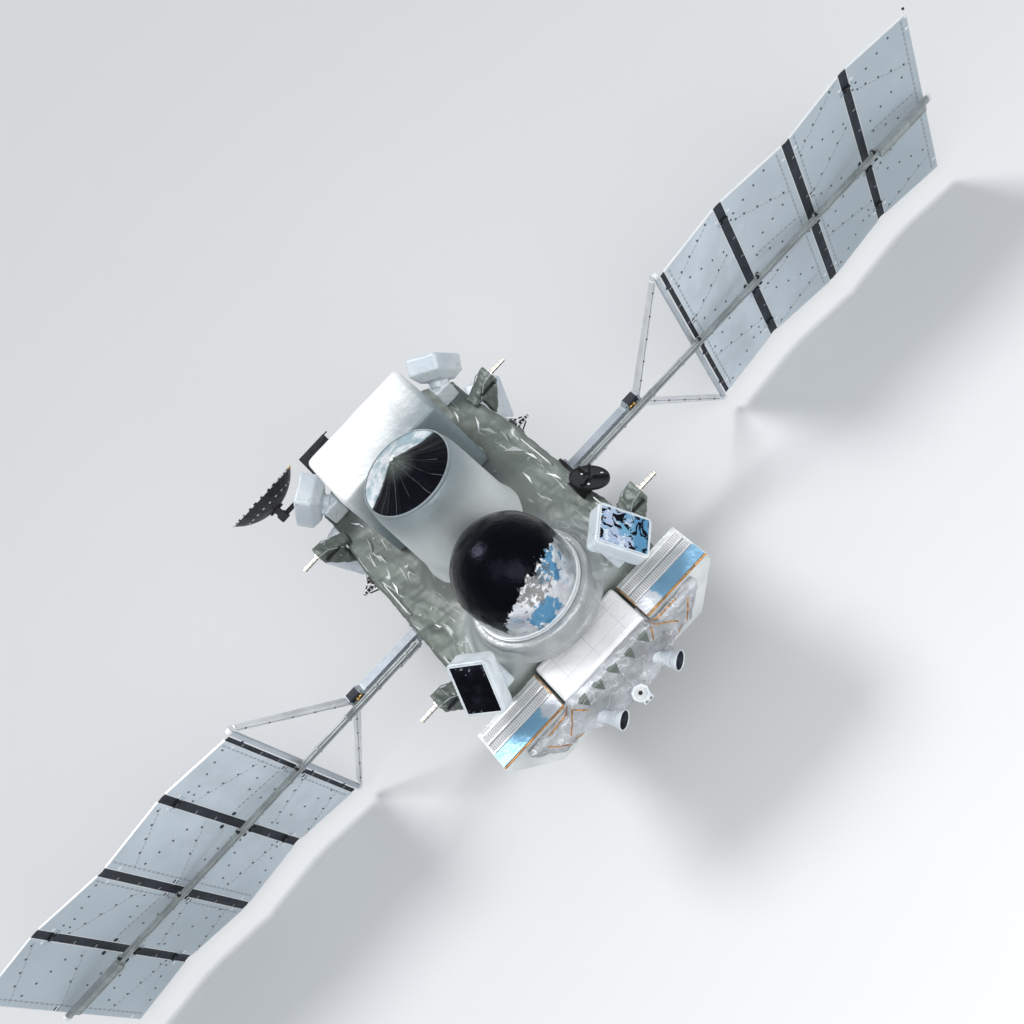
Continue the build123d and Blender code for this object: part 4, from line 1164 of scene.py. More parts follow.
class SATELLITE_OT_detectors(bpy.types.Operator):
    """Hoods and mirror sheets of the eight burst detectors"""

    bl_idname = "satellite.detectors"
    bl_label = "Burst detectors"

    def execute(self, context):
        seed = 40
        for name, (*_, up) in DETECTORS.items():
            depth = 0.008 if up > 0 else 0.004
            for word in SIDES:
                seed += 1
                blanket("hood_%s_%s" % (name, word), "burst_detector_%s_%s" % (name, word), "hood_paint",
                        "white_paint", seed, 0.022, 0.26, depth, ease=2, calm=0.4)
        self.sheets()
        return {"FINISHED"}

    @staticmethod
    def sheets():
        """Mirror sheets in the faces, painted with their reflections, with their tape borders and corner patches of
        painted blue reflection.
        """
        trims = {"blue_window": Trim(), "dark_window": Trim()}
        border = Trim()
        wide, tall, edge = 0.290, 0.390, 0.020
        for name in DETECTORS:
            for word, side in SIDES.items():
                # the two blue sheets carry the painted blue reflection, the others the painted dark reflection
                blue = (name, word) in (("aft_upper", "right"), ("forward_lower", "left"))
                place = detector_place(name, side)
                trims["blue_window" if blue else "dark_window"].box(
                    (-wide, -tall, -0.014), (wide, tall, 0.003), 0, place, 0.004)
                inner, upper = wide - edge, tall - edge
                for x0, x1, y0, y1 in ((-wide, wide, -tall, -upper), (-wide, wide, upper, tall),
                                       (-wide, -inner, -upper, upper), (inner, wide, -upper, upper)):
                    border.box((x0, y0, -0.010), (x1, y1, 0.006), 0, place)
        trims["blue_window"].piece("windows_blue_reflection", ["blue_window"], "mirror_film", ["detector_windows"])
        trims["dark_window"].piece("windows_dark_reflection", ["dark_window"], "mirror_film")
        border.piece("window_borders", ["hood_paint"], "white_blanket")


class SATELLITE_OT_aft_end(bpy.types.Operator):
    """White box, equipment modules, louvres, radiators, thruster shrouds and tape"""

    bl_idname = "satellite.aft_end"
    bl_label = "Aft end"

    def execute(self, context):
        box = blanket("aft_box_blanket", "aft_box", "box_white", "white_blanket", 61, 0.030, 0.5, 0.005,
                      ease=2, calm=0.3)
        tail = blanket("tail_blanket", "aft_bulkhead", "tail_sheet", "white_blanket", 63, 0.026, 0.30, 0.032,
                       ease=3, calm=0.5)
        paint_nodes("module_paint", "power_module", "data_module")
        paint_nodes("radiator", "radiator_strips")
        self.louvres()
        self.thrusters()
        self.pod()
        self.box_details(tree_of(box))
        self.tapes(tree_of(tail))
        return {"FINISHED"}

    @staticmethod
    def louvres():
        """Two rows of fine tilted blades on each module, between double rails."""
        trim = Trim()
        x0, x1, y0, y1, base = 2.712, 3.088, 0.882, 2.018, MOD_TOP
        blades, tilt = 34, 24
        pitch = (y1 - y0) / blades
        for side in SIDES.values():
            low_y, high_y = sorted((side * y0, side * y1))
            trim.box((x0, low_y, base - 0.001), (x1, high_y, base + 0.007), 1)
            for row in range(2):
                low = x0 + 0.030 + row * 0.188
                for i in range(blades):
                    spot = moved(low, side * (y0 + (i + 0.5) * pitch), base + 0.015)
                    turn = Matrix.Rotation(radians(tilt * side), 4, "X")
                    trim.box((0.0, -pitch * 0.40, -0.0012), (0.128, pitch * 0.40, 0.0012), 0, spot @ turn)
            for x in (x0 + 0.004, x0 + 0.164, x0 + 0.352):
                for shift in (0.0, 0.013):
                    trim.box((x + shift, low_y, base), (x + shift + 0.008, high_y, base + 0.025), soft=0.002)
        trim.piece("louvres", ["slat", "wiring"], "louvre", ["louvre_panels"])

    @staticmethod
    def thrusters():
        """Hollow flared shrouds, white outside and dark within, with a rolled lip."""
        trim = Trim()
        for y in THRUSTER_Y:
            place = aimed((TAIL_AFT, y, THRUSTER_Z), THRUSTER_AIM)
            trim.turned([(0.098, -0.05), (0.092, 0.03), (0.088, 0.09), (0.118, 0.21), (0.149, 0.325),
                         (0.153, 0.338), (0.148, 0.346), (0.139, 0.340), (0.108, 0.21), (0.078, 0.12),
                         (0.060, 0.10)], 0, place, 40)
            trim.turned([(0.076, 0.118), (0.106, 0.212), (0.1365, 0.336), (0.1345, 0.337), (0.103, 0.214),
                         (0.072, 0.121)], 1, place, 40)
            trim.turned([(0.040, 0.10), (0.040, 0.128), (0.030, 0.134), (0.014, 0.120)], 2, place, 20)
            trim.ring([(0.112, 0.19), (0.119, 0.19), (0.122, 0.202), (0.114, 0.204)], 0, place, 40)
        trim.piece("thruster_shrouds", ["white", "closeout", "bright_metal"], "white_blanket",
                   ["orbit_thrusters"])

    @staticmethod
    def pod():
        """Attitude pod: an eight-sided drum with a lid ring, and the square block under it."""
        trim = Trim()
        tip = radians(POD_TILT)
        place = aimed((TAIL_AFT, 0.0, POD_Z), (cos(tip), 0, sin(tip)), (0, 1, 0))
        trim.turned([(0.137, -0.10), (0.138, 0.165), (0.130, 0.176)], place=place, sides=8)
        trim.ring([(0.100, 0.170), (0.139, 0.166), (0.137, 0.188), (0.104, 0.190)], 1, place, 8)
        trim.turned([(0.034, 0.17), (0.030, 0.188), (0.016, 0.189)], 2, place, 12)
        trim.box((TAIL_AFT - 0.02, -0.078, -1.398), (TAIL_AFT + 0.206, 0.098, -1.292), 1, soft=0.012)
        for y in (-0.03, 0.05):
            spot = aimed((TAIL_AFT + 0.206, y, -1.345), (1, 0, 0), (0, 1, 0))
            trim.turned([(0.018, -0.004), (0.024, 0.003), (0.014, 0.003), (0.008, -0.002)], 2, spot, 14)
        trim.piece("attitude_pod", ["module_paint", "white", "dark_metal"], "white_blanket",
                   ["thruster_pods"])

    @staticmethod
    def box_details(surface):
        """Seams, edge ribs and the row of gussets on the white box."""
        trim = Trim()
        fore, aft, above = 2.70, 3.33, -0.3
        runs = [((fore, y), (aft, y), 0.006, 0, 0.0015) for y in (-0.52, 0.0, 0.52)]
        runs += [((x, -0.70), (x, 0.70), 0.006, 0, 0.0015) for x in (2.86, 3.16)]
        runs += [((x, -0.74), (x, 0.74), 0.024, 1, 0.006) for x in (fore, aft)]
        runs += [((fore, y), (aft, y), 0.020, 1, 0.005) for y in (-0.72, 0.72)]
        for start, end, width, kind, lift in runs:
            laid(trim, surface, (*start, above), (*end, above), width, (0, 0, -1), kind, lift)
        gusset = ((-0.03, 0.085, -0.435, -0.02, -0.70), (0.035, 0.075, -0.445, 0.030, -0.67))
        for i in range(5):
            y = -0.60 + 0.30 * i
            trim.loft([[(TAIL_AFT + x, y - half, top), (TAIL_AFT + x, y + half, top),
                        (TAIL_AFT + tip, y + 0.01, foot)]
                       for x, half, top, tip, foot in gusset], 2)
        trim.piece("box_seams", ["seam", "box_white", "foil"], "white_blanket")

    @staticmethod
    def tapes(surface):
        """Amber tape along the modules' edges and over the tail."""
        trim = Trim()
        behind = 4.0
        for side in SIDES.values():
            for x0, x1, y0, y1, top in ((2.63, 3.398, 0.852, 0.872, -0.4945),
                                        (3.376, 3.398, 0.874, 2.045, -0.482)):
                low, high = sorted((side * y0, side * y1))
                trim.box((x0, low, -0.502), (x1, high, top), soft=0.0015)
            for y0, z0, y1, z1, width in ((0.80, -0.47, 1.10, -0.86, 0.024),
                                          (0.80, -0.47, 0.66, -0.74, 0.020),
                                          (1.42, -0.64, 1.20, -1.00, 0.022),
                                          (0.95, -1.06, 1.10, -0.98, 0.018)):
                laid(trim, surface, (behind, side * y0, z0), (behind, side * y1, z1), width, (-1, 0, 0))
            laid(trim, surface, (3.46, side * 0.82, 0.4), (3.50, side * 1.30, 0.4), 0.022, (0, 0, -1))
        trim.piece("amber_tape", ["amber"], "white_blanket")


class SATELLITE_OT_fittings(bpy.types.Operator):
    """Trunnions, grapple fixture, latches and drives"""

    bl_idname = "satellite.fittings"
    bl_label = "Fittings"

    def execute(self, context):
        blanket("fitting_blankets", "trunnion_fittings", "foil", "silver_blanket", 71, 0.022, 0.16, 0.018,
                ease=2, calm=0.5)
        paint_nodes("bright_metal", "longeron_trunnions", "keel_trunnion")
        paint_nodes("dark_metal", "grapple_fixture", "grapple_bracket", "side_latches", "array_drives",
                    "antenna_bracket", "antenna_gimbal")
        self.trunnions()
        self.grapple()
        self.latches()
        self.rails()
        return {"FINISHED"}

    @staticmethod
    def trunnions():
        """Grease groove lines and end caps on the pins, and the slotted guards beside the fittings."""
        trim = Trim()
        for x in (-2.1, 2.1):
            for side in SIDES.values():
                place = aimed((x, side * 2.13, 0), (0, side, 0), (1, 0, 0))
                for z in (0.03, 0.12, 0.21, 0.29):
                    trim.ring([(0.040, z), (0.0425, z), (0.0425, z + 0.006), (0.040, z + 0.006)], 0, place)
                trim.knob(0.030, 0.022, (0.316, 0.323, 0.326), 0, place)
                trim.pipe([(x + 0.041, side * 2.14, 0.004), (x + 0.041, side * 2.43, 0.004)], 0.005)
                low, high = sorted((side * 1.74, side * 2.06))
                for shift in (-0.15, 0.15):
                    trim.pipe([(x + shift, side * 1.70, -0.13), (x + shift * 0.95, side * 1.90, 0.06),
                               (x + shift * 0.85, side * 2.10, 0.09)], 0.010, 1)
                    trim.box((x + shift - 0.012, low, -0.10), (x + shift + 0.012, high, -0.05), soft=0.004)
        trim.piece("trunnion_trim", ["dark_metal", "mast_paint"], "dark_metal")

    @staticmethod
    def grapple():
        """Rim, bolts, targets and the centre post on the grapple plate."""
        place = Matrix.Translation(GRAPPLE_AT) @ Matrix.Rotation(radians(-GRAPPLE_TILT), 4, "X")
        trim = Trim(place)
        trim.ring([(0.288, 0.013), (0.309, 0.013), (0.309, 0.024), (0.292, 0.024)])
        bolt_circle = 0.27
        for i in range(12):
            a = radians(30 * i + 15)
            spot = moved(bolt_circle * cos(a), bolt_circle * sin(a), 0.012)
            trim.knob(0.011, 0.008, (0.0, 0.009, 0.012), 0, spot, 6)
        for x, y, r in ((-0.17, 0.03, 0.030), (0.145, -0.115, 0.022), (0.02, 0.215, 0.024),
                        (-0.13, -0.05, 0.018)):
            trim.knob(r, r * 0.7, (0.012, 0.020, 0.024), 1, moved(x, y, 0), 16)
        trim.turned([(0.062, 0.012), (0.058, 0.030), (0.030, 0.050), (0.018, 0.052)])
        trim.piece("grapple_trim", ["dark_metal", "tape"], "dark_metal")

    @staticmethod
    def latches():
        """Collars, links and wraps on the side latches."""
        trim = Trim()
        for x, side in ((-1.25, 1), (-1.15, -1)):
            place = aimed((x, side * 1.78, -0.5), (0, side, 0), (1, 0, 0))
            for z, r in ((0.02, 0.058), (0.08, 0.050), (0.15, 0.044), (0.205, 0.040)):
                trim.ring([(0.024, z), (r, z), (r, z + 0.014), (0.024, z + 0.014)], 1, place)
            for dx, dz in ((-0.07, -0.10), (0.07, -0.10), (0.07, 0.10), (-0.07, 0.10)):
                trim.pipe([(x + dx, side * 1.77, -0.5 + dz), (x + dx * 0.4, side * 1.93, -0.5 + dz * 0.4)],
                          0.012)
                spot = aimed((x + dx, side * 1.775, -0.5 + dz), (0, side, 0), (1, 0, 0))
                trim.knob(0.018, 0.012, (0.0, 0.014, 0.02), 1, spot, 6)
            trim.pipe([(x - 0.16, side * 1.74, -0.34), (x - 0.02, side * 1.86, -0.40),
                       (x + 0.16, side * 1.76, -0.36)], 0.016, 1)
            low, high = sorted((side * 1.76, side * 1.83))
            trim.box((x - 0.13, low, -0.47), (x - 0.06, high, -0.39), 2 if side < 0 else 1, soft=0.01)
        trim.piece("latch_trim", ["dark_metal", "edge_trim", "amber"], "dark_metal")

    @staticmethod
    def rails():
        """Handrails on standoffs along the deck edges and the modules."""
        trim = Trim()
        runs = (((-0.55, 1.60, DECK_Z), (0.25, 1.60, DECK_Z)), ((1.46, 1.62, DECK_Z), (1.86, 1.62, DECK_Z)),
                ((2.36, 1.52, DECK_Z), (2.36, 1.16, DECK_Z)))
        for start, end in runs:
            for side in SIDES.values():
                a, b = (Vector((p[0], side * p[1], p[2] + 0.085)) for p in (start, end))
                drop, rise = Vector((0, 0, -0.115)), Vector((0, 0, 0.012))
                trim.pipe([a + drop, a, a.lerp(b, 0.04) + rise, a.lerp(b, 0.96) + rise, b, b + drop], 0.011)
        trim.piece("handrails", ["tape"], "white_paint")


class SATELLITE_OT_antenna(bpy.types.Operator):
    """Dish, feed and boom of the gimballed antenna"""

    bl_idname = "satellite.antenna"
    bl_label = "Antenna"

    def execute(self, context):
        paint_nodes("black_blanket", "antenna_dish", "antenna_feed", "antenna_boom")
        lean = radians(DISH_LEAN)
        place = Matrix.Translation(DISH_AT) @ Matrix.Rotation(-lean, 4, "Y")
        trim = Trim(place)
        tabs = 30
        for i in range(tabs):
            a = 2 * pi * i / tabs
            half, gold = (0.050, 0.066, 0.034)[i % 3], abs(degrees(a) - 90) < 26
            spot = Matrix.Rotation(a, 4, "Z") @ moved(DISH_R - 0.003, 0, -0.004)
            trim.box((-0.010, -half, -0.022), (0.010, half, 0.010), 1 if gold else 0, spot, 0.002)
        curve = (DISH_R ** 2 + DISH_DEPTH ** 2) / (2 * DISH_DEPTH)
        dots, r = 22, 0.56
        low = curve - DISH_DEPTH - sqrt(curve ** 2 - r ** 2)
        for i in range(dots):
            a = 2 * pi * (i + 0.5) / dots
            spot = (Matrix.Rotation(a, 4, "Z") @ moved(r, 0, low)
                    @ Matrix.Rotation(-asin(r / curve), 4, "Y"))
            trim.box((-0.012, -0.020, -0.005), (0.012, 0.020, 0.003), place=spot)
        trim.piece("dish_tabs", ["tape", "gold"], "black_blanket", body="antenna_dish_body")
        boom = Trim(place)
        for y, z in ((1.62, -0.06), (1.62, -0.57), (1.10, -0.42), (1.10, -0.56)):
            boom.box((-0.060, y - 0.05, z - 0.012), (0.060, y + 0.05, z + 0.012), soft=0.004)
        boom.pipe([(0.062, 1.56, -0.10), (0.066, 1.30, -0.20), (0.064, 1.02, -0.42), (0.050, 0.95, -0.52)],
                  0.012, 1)
        boom.piece("antenna_boom_trim", ["dark_metal", "closeout"], "black_blanket", body="antenna_boom_body")
        return {"FINISHED"}


class SATELLITE_OT_wing_frames(bpy.types.Operator):
    """Booms, yokes and masts with their clamps and harness"""

    bl_idname = "satellite.wing_frames"
    bl_label = "Wing frames"

    def execute(self, context):
        for word, side in SIDES.items():
            wing = "wing_" + word
            paint_nodes("frame_paint", *(wing + "_" + part for part in
                                         ("boom", "yoke_upper", "yoke_lower", "crossbar")))
            paint_nodes("mast_paint", wing + "_mast")
            place = wing_place(side)
            self.mast(place, wing)
            self.boom(place, wing)
            self.yoke(place, wing)
        return {"FINISHED"}

    @staticmethod
    def mast(place, wing):
        """Side rails, which also stand for the mast's shade and shadow, clamps, harness and the end box of the mast.
        """
        trim = Trim(place)
        y0, y1, clamp_step, rider_step = 2.05, MAST_END - 0.04, 0.724, 1.441
        # the side rails widen the mast: partly rails, partly a dark stand-in for its shade and shadow
        for u in (MAST_U - 0.066, MAST_U + 0.050):
            trim.box((u, y0, MAST_V - 0.014), (u + 0.016, y1, MAST_V + 0.006), soft=0.002)
        y = y0 + 0.25
        while y < MAST_END - 1.40:
            trim.pad((MAST_U, y), (0.070, 0.022), (MAST_V - 0.036, MAST_V + 0.046), soft=0.004)
            y += clamp_step
        rng = np.random.default_rng(91)
        path = [(MAST_U + 0.018 * sin(3.1 * i) + 0.010 * rng.normal(), y0 + i * 0.24, MAST_V + 0.050)
                for i in range(30)]
        trim.pipe(path, 0.010, 1)
        for i in range(4):
            y = HINGE_Y + i * rider_step
            trim.pad((MAST_U, y), (0.11, 0.05), (MAST_V - 0.030, MAST_V + 0.020), soft=0.006)
            trim.box((MAST_U + 0.075, y - 0.030, MAST_V + 0.018),
                     (MAST_U + 0.105, y + 0.030, MAST_V + 0.040), 2)
            spot = moved(MAST_U - 0.085, y, MAST_V + 0.012)
            trim.knob(0.034, 0.024, (-0.02, 0.02, 0.026), 2, spot, 16)
        low, high = MAST_END - 1.28, MAST_END - 0.20
        for u in (MAST_U - 0.080, MAST_U + 0.066):
            trim.box((u, low, MAST_V + 0.088), (u + 0.014, high, MAST_V + 0.104), soft=0.002)
        for i in range(7):
            y = low + 0.10 + 0.155 * i
            trim.box((MAST_U + 0.078, y - 0.045, MAST_V + 0.010),
                     (MAST_U + 0.083, y + 0.045, MAST_V + 0.062), 2)
            trim.pad((MAST_U, y), (0.05, 0.008), (MAST_V + 0.088, MAST_V + 0.096))
        trim.box((MAST_U - 0.056, MAST_END - 0.05, MAST_V - 0.044),
                 (MAST_U + 0.056, MAST_END + 0.012, MAST_V + 0.046), 3, soft=0.008)
        trim.piece(wing + "_mast_trim", ["mast_paint", "wiring", "dark_metal", "edge_trim"], "white_paint",
                   body=wing)

    @staticmethod
    def boom(place, wing):
        """Lattice, cable run, bolts, the black plate round the hub's edge and the gilt fitting."""
        trim = Trim(place)
        edge, top = BEAM_U + BEAM_W / 2, BEAM_V + BEAM_T / 2
        u0, u1, v = edge + 0.018, edge + 0.115, BEAM_V + 0.01
        nodes = [2.04 + 0.115 * i for i in range(8)]
        for u, last in ((u0, nodes[-1]), (u1, nodes[-2])):
            trim.pipe([(u, nodes[0], v), (u, last, v)], 0.012)
        for i in range(len(nodes) - 1):
            a, b = (u0, u1) if i % 2 == 0 else (u1, u0)
            if i < len(nodes) - 2:
                trim.pipe([(a, nodes[i], v), (b, nodes[i + 1], v)], 0.008)
            trim.pipe([(u0, nodes[i], v), (u1, nodes[i], v)], 0.007)
        for y in (nodes[0], nodes[3], nodes[6]):
            trim.box((edge - 0.01, y - 0.02, v - 0.02), (u0 + 0.01, y + 0.02, v + 0.02))
        trim.pipe([(u1 + 0.05, 2.06, v), (u1 + 0.05, 2.60, v + 0.01)], 0.014, 2)
        for y in (2.10, 2.55):
            trim.box((u1 - 0.01, y - 0.014, v - 0.012), (u1 + 0.06, y + 0.014, v + 0.012))
        rail = edge - 0.030
        trim.box((rail, 2.06, top - 0.004), (rail + 0.020, HUB_Y - 0.18, top + 0.014), 1, soft=0.003)
        for u in (BEAM_U - 0.118, BEAM_U + 0.06):
            for i in range(5):
                spot = moved(u, 2.15 + 0.25 * i, top)
                trim.knob(0.012, 0.008, (-0.002, 0.004, 0.006), 3, spot, 8)
        trim.box((BEAM_U - 0.083, HUB_Y - 0.113, BEAM_V - 0.072),
                 (BEAM_U + 0.083, HUB_Y + 0.053, BEAM_V + 0.058), 3, soft=0.004)
        trim.box((MAST_U - 0.085, HUB_Y - 0.10, BEAM_V + 0.070),
                 (MAST_U - 0.020, HUB_Y - 0.03, BEAM_V + 0.112), 4, soft=0.014)
        trim.turned([(0.030, 0.0), (0.036, 0.03), (0.030, 0.05), (0.016, 0.058)], 4,
                    moved(MAST_U - 0.060, HUB_Y + 0.005, BEAM_V + 0.072), 18)
        for u0, u1, low in ((BEAM_U - 0.200, BEAM_U + 0.085, top - 0.002),
                            (BEAM_U - 0.206, BEAM_U - 0.198, BEAM_V - 0.070)):
            trim.box((u0, HUB_Y - 0.092, low), (u1, HUB_Y + 0.120, top + 0.006), 3, soft=0.002)
        for u in (-0.16, 0.20):
            for y in (-0.13, 0.13):
                spot = moved(u, HUB_Y + y, top)
                trim.knob(0.014, 0.009, (-0.002, 0.006, 0.009), 3, spot, 8)
        trim.piece(wing + "_boom_trim", ["dark_metal", "mast_paint", "edge_trim", "closeout", "gold"],
                   "white_paint", body=wing)

    @staticmethod
    def yoke(place, wing):
        """End caps of the crossbar, and pads, cable clips and cladding on the yoke arms."""
        trim = Trim(place)
        v = 0.06
        for sense in (-1, 1):
            low, high = sorted((sense * (YOKE_HALF - 0.05), sense * (YOKE_HALF + 0.008)))
            trim.box((low, YOKE_Y - 0.041, v - 0.046), (high, YOKE_Y + 0.041, v + 0.046), soft=0.006)
            u, out = sense * (YOKE_HALF - 0.10), YOKE_Y - 0.055
            trim.box((u - 0.05, out - 0.06, BEAM_V - 0.038), (u + 0.05, out, BEAM_V + 0.038), soft=0.006)
            start = Vector((BEAM_U + sense * 0.14, HUB_Y + 0.20, BEAM_V + 0.044))
            end = Vector((sense * (YOKE_HALF - 0.06), YOKE_Y - 0.06, BEAM_V + 0.044))
            trim.pipe([start.lerp(end, t) for t in (0.02, 0.3, 0.6, 0.98)], 0.006, 1)
            for t in (0.12, 0.3, 0.5, 0.7, 0.9):
                spot = start.lerp(end, t)
                trim.box(spot - Vector((0.014, 0.014, 0.004)), spot + Vector((0.014, 0.014, 0.008)), 2)
            low, high = BEAM_V - 0.044, BEAM_V + 0.044
            rings = []
            for y, u, half in ((HUB_Y + 0.14, BEAM_U + sense * 0.118, 0.096),
                               (YOKE_Y - 0.045, sense * (YOKE_HALF - 0.050), 0.064)):
                rings.append([(u - half, y, low), (u + half, y, low), (u + half + 0.004, y, BEAM_V),
                              (u + half, y, high), (u - half, y, high), (u - half - 0.004, y, BEAM_V)])
            trim.loft(rings, 3)
        trim.piece(wing + "_yoke_trim", ["edge_trim", "wiring", "dark_metal", "arm_paint"], "white_paint",
                   body=wing)


class SATELLITE_OT_panels(bpy.types.Operator):
    """Cells, studs, wiring, edge channels and closeout strips on the eight panels"""

    bl_idname = "satellite.panels"
    bl_label = "Solar panels"

    # rows of studs: across at mid-length, lean, first stud outward, count
    ROWS = ((-1.645, -0.388, 0.356, 4), (-1.13, 0.388, 0.197, 5), (-0.63, -0.388, 0.220, 4),
            (-0.035, 0.388, 0.330, 3), (0.43, -0.388, 0.250, 3), (1.01, 0.388, 0.315, 5),
            (1.55, -0.388, 0.260, 4))
    SHIFTED = {0: (0.440, 4), 1: (0.115, 5)}
    STEP = 0.252
    PAIRS = (((-0.81, 1.23), (1.355, 1.20), (1.507, 1.187)), ((-1.45, 0.20), (-1.30, 0.20)))
    WIRED = {0: (0, 2, 5), 1: (1, 4, 6)}

    def execute(self, context):
        s = context.scene.wings
        for word, side in SIDES.items():
            for index in range(4):
                node = "wing_%s_panel_%d" % (word, index + 1)
                paint_nodes("panel_back", node)
                place, way = panel_place(side, index)
                self.back(node, place, way, index, side, s)
                self.front(node, place, way)
                self.edges(node, place, way, index)
        self.tip_aerial()
        return {"FINISHED"}

    def back(self, node, place, way, index, side, s):
        """Studs, dashed wiring, hinge hooks and rollers."""
        top = way * HINGE_E + PANEL_T / 2
        middle, odd = 0.72, index % 2
        studs = Trim(place)
        spots = list(self.PAIRS[odd])
        for row, (across, lean, first, count) in enumerate(self.ROWS):
            if odd:
                first, count = self.SHIFTED.get(row, (first + 0.05 * (row % 3) - 0.04, count))
            for k in range(count):
                y = first + self.STEP * k
                spots.append((across + lean * (y - middle), y))
        r = s.stud / 2
        for u, y in spots:
            if abs(u) < PANEL_HALF - 0.05 and EDGE_GAP + 0.025 < y < PITCH - EDGE_GAP - 0.025:
                spot = moved(u * side, y, top)
                studs.knob(r, r * 0.7, (-0.001, 0.003, 0.005), 0, spot, 10)
        for u in (-1.6, 1.6):
            for y in (EDGE_GAP + 0.05, PITCH - EDGE_GAP - 0.05):
                studs.pad((u, y), (0.022, 0.030), (top - 0.001, top + 0.004), 1, 0.001)
        hooks = ((0.20, EDGE_GAP + 0.045), (-0.40, EDGE_GAP + 0.045))
        if odd:
            hooks = ((0.25, PITCH - EDGE_GAP - 0.05),)
        for u, y in hooks:
            studs.pad((u * side, y), (0.045, 0.035), (top - 0.001, top + 0.007), 0, 0.002)
            studs.pad((u * side, y), (0.015, 0.055), (top, top + 0.009), 1)
        roller = moved(0.19 * side, EDGE_GAP + 0.06 if odd else PITCH - EDGE_GAP - 0.06, top)
        studs.knob(0.038, 0.026, (-0.001, 0.006, 0.009), 2, roller, 18)
        wires = Trim(place)
        for row in self.WIRED[odd]:
            across, lean = self.ROWS[row][:2]
            ends = [Vector(((across + lean * (y - middle)) * side + 0.03, y, top))
                    for y in (0.16, PITCH - 0.16)]
            self.dashes(wires, *ends, s.wire, 0.060, 0.032)
        y, u, thin = 1.225 if odd else 0.170, (-0.24 if odd else 0.25) * side, s.wire * 0.85
        for offset in (0.0, 0.018):
            self.dashes(wires, Vector((-PANEL_HALF + 0.06, y + offset, top)),
                        Vector((PANEL_HALF - 0.06, y + offset, top)), thin, 0.075, 0.038)
        for offset in (0.0, 0.018):
            self.dashes(wires, Vector((u + offset, 0.24, top)), Vector((u + offset, PITCH - 0.24, top)),
                        thin, 0.060, 0.036)
        body = node + "_body"
        studs.piece(node + "_studs", ["stud", "edge_trim", "dark_metal"], "panel_back", body=body)
        wires.piece(node + "_wires", ["wiring"], "panel_back", body=body)

    @staticmethod
    def dashes(trim, start, end, width, dash, gap):
        """Run of short flat wires from one point to another."""
        way = end - start
        total = way.length
        along = way.normalized()
        turn = Matrix.Translation(start) @ Vector((1, 0, 0)).rotation_difference(along).to_matrix().to_4x4()
        at = 0.0
        while at < total:
            trim.box((at, -width / 2, -0.001), (min(at + dash, total), width / 2, 0.003), 0, turn)
            at += dash + gap

    @staticmethod
    def front(node, place, way):
        """Strings of cells on the sunward face."""
        low = way * HINGE_E - PANEL_T / 2
        trim = Trim(place)
        columns, rows, margin, gap = 12, 3, 0.03, 0.006
        wide, tall = 2 * (PANEL_HALF - margin) / columns, (PITCH - 2 * EDGE_GAP - 2 * margin) / rows
        for i in range(columns):
            for j in range(rows):
                u, y = -PANEL_HALF + margin + i * wide, EDGE_GAP + margin + j * tall
                trim.box((u + gap, y + gap, low - 0.003), (u + wide - gap, y + tall - gap, low + 0.001))
        trim.piece(node + "_cells", ["cell_glass"], "panel_back", body=node + "_body")

    @staticmethod
    def edges(node, place, way, index):
        """Edge channels, and the dark closeouts that all but meet over the hinges when the wing is open."""
        mid, half = way * HINGE_E, PANEL_T / 2 + 0.002
        near, far = EDGE_GAP - 0.003, PITCH - EDGE_GAP + 0.003
        trim = Trim(place)
        side = PANEL_HALF + 0.003
        inner, lip = side - 0.016, 0.012
        for u0, u1, y0, y1 in ((-side, -inner, near, far), (inner, side, near, far),
                               (-inner, inner, near, near + lip), (-inner, inner, far - lip, far)):
            trim.box((u0, y0, mid - half), (u1, y1, mid + half))
        trim.piece(node + "_edges", ["edge_trim"], "panel_back", body=node + "_body")
        strips = Trim(place)
        runs = [(0.004 if index == 0 else -STRIP_PAST, near)] + [(far, PITCH + STRIP_PAST)] * (index < 3)
        for y0, y1 in runs:
            strips.box((-STRIP_HALF, y0, mid - STRIP_T), (STRIP_HALF, y1, mid + STRIP_T))
        for u in (-1.45, -0.95, -0.45, 0.55, 1.05, 1.55):
            strips.box((u - 0.010, near - 0.066, mid + 0.002), (u + 0.010, near - 0.005, mid + 0.006), 1)
        strips.piece(node + "_closeouts", ["closeout", "wiring"], "black_blanket", body=node + "_body")

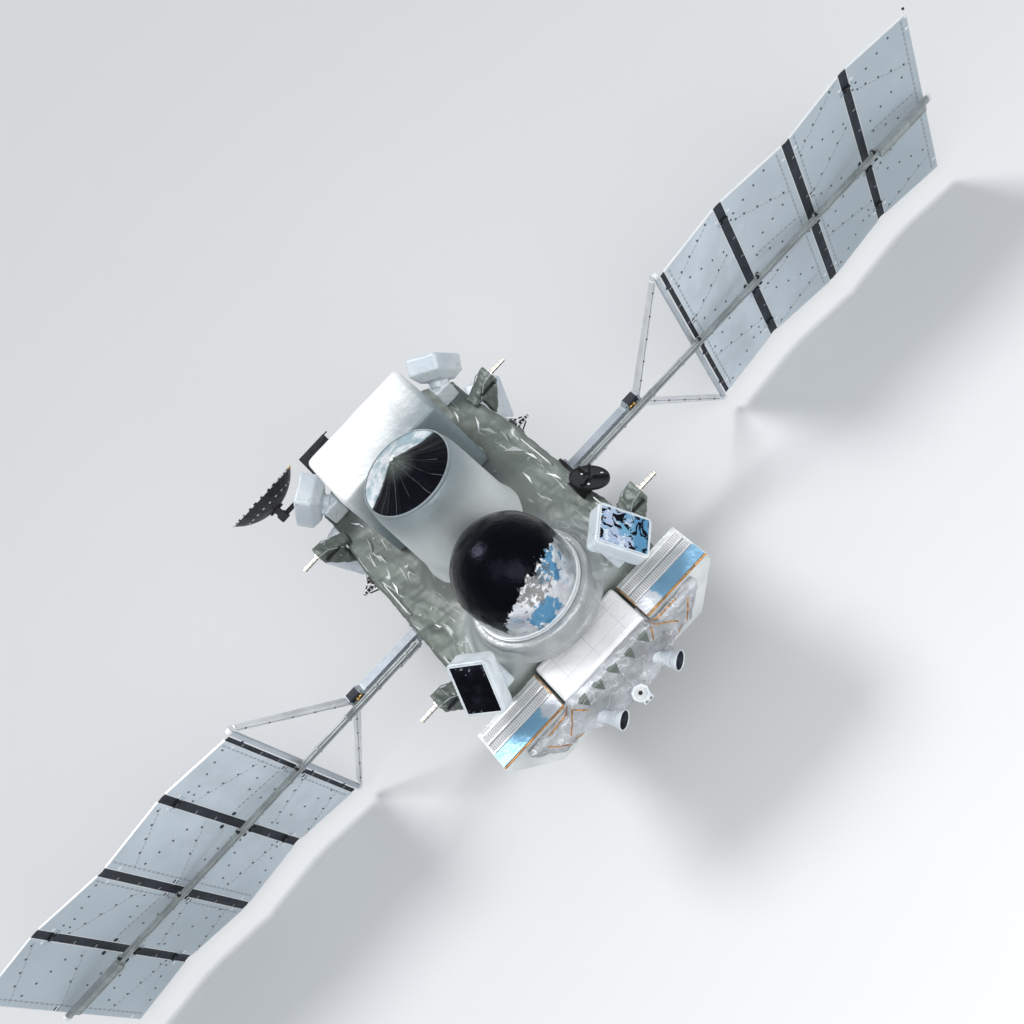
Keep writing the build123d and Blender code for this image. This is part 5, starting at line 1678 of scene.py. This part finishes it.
    @staticmethod
    def tip_aerial():
        """Small rod with a ball at the outer corner of the right wing."""
        place, way = panel_place(1, 3)
        trim = Trim(place)
        y, mid = PITCH - EDGE_GAP - 0.03, way * HINGE_E
        trim.box((-PANEL_HALF - 0.012, y - 0.03, mid - 0.012), (-PANEL_HALF + 0.06, y + 0.02, mid + 0.020),
                 soft=0.004)
        trim.pipe([(-PANEL_HALF - 0.01, y, mid), (-PANEL_HALF - 0.12, y, mid)], 0.006)
        ball = aimed((-PANEL_HALF - 0.12, y, mid), (-1, 0, 0), (0, 1, 0))
        profile = [(0.010, -0.022), (0.021, -0.012), (0.025, 0.0), (0.021, 0.012), (0.010, 0.022)]
        trim.turned(profile, 1, ball, 16)
        trim.piece("tip_aerial", ["edge_trim", "dark_metal"], "white_paint", body="wing_right_panel_4_body")


class SATELLITE_PT_sidebar(bpy.types.Panel):
    """The satellite's operators and settings"""

    bl_label = "Observatory satellite"
    bl_space_type = "VIEW_3D"
    bl_region_type = "UI"
    bl_category = "Satellite"

    def draw(self, context):
        column = self.layout.column(align=True)
        for operator in OPERATORS:
            column.operator(operator.bl_idname)
        for name, group in GROUPS.items():
            box = self.layout.box()
            for key in group.__annotations__:
                box.prop(getattr(context.scene, name), key)


OPERATORS = (SATELLITE_OT_stage, SATELLITE_OT_deck, SATELLITE_OT_telescopes, SATELLITE_OT_detectors,
             SATELLITE_OT_aft_end, SATELLITE_OT_fittings, SATELLITE_OT_antenna, SATELLITE_OT_wing_frames,
             SATELLITE_OT_panels)
GROUPS = {"blankets": BlanketSettings, "wings": WingSettings, "studio": StudioSettings}


def register():
    """Registers the settings, operators and panel."""
    for group in GROUPS.values():
        bpy.utils.register_class(group)
    for name, group in GROUPS.items():
        setattr(bpy.types.Scene, name, bpy.props.PointerProperty(type=group))
    for entry in (*OPERATORS, SATELLITE_PT_sidebar):
        bpy.utils.register_class(entry)


def unregister():
    """Takes them out again."""
    for entry in (SATELLITE_PT_sidebar, *reversed(OPERATORS)):
        bpy.utils.unregister_class(entry)
    for name, group in GROUPS.items():
        delattr(bpy.types.Scene, name)
        bpy.utils.unregister_class(group)


def main():
    """Makes everything in order and writes both boxes."""
    register()
    for operator in OPERATORS:
        call = getattr(bpy.ops.satellite, operator.bl_idname.split(".")[1])
        if call() != {"FINISHED"}:
            raise RuntimeError(operator.bl_label + " didn't finish")
    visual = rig.bounds()
    with open("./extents.json", "w") as file:
        json.dump({"cad": [list(corner) for corner in CAD_BOX],
                   "visual": [list(corner) for corner in visual]}, file)


if __name__ == "__main__":
    main()
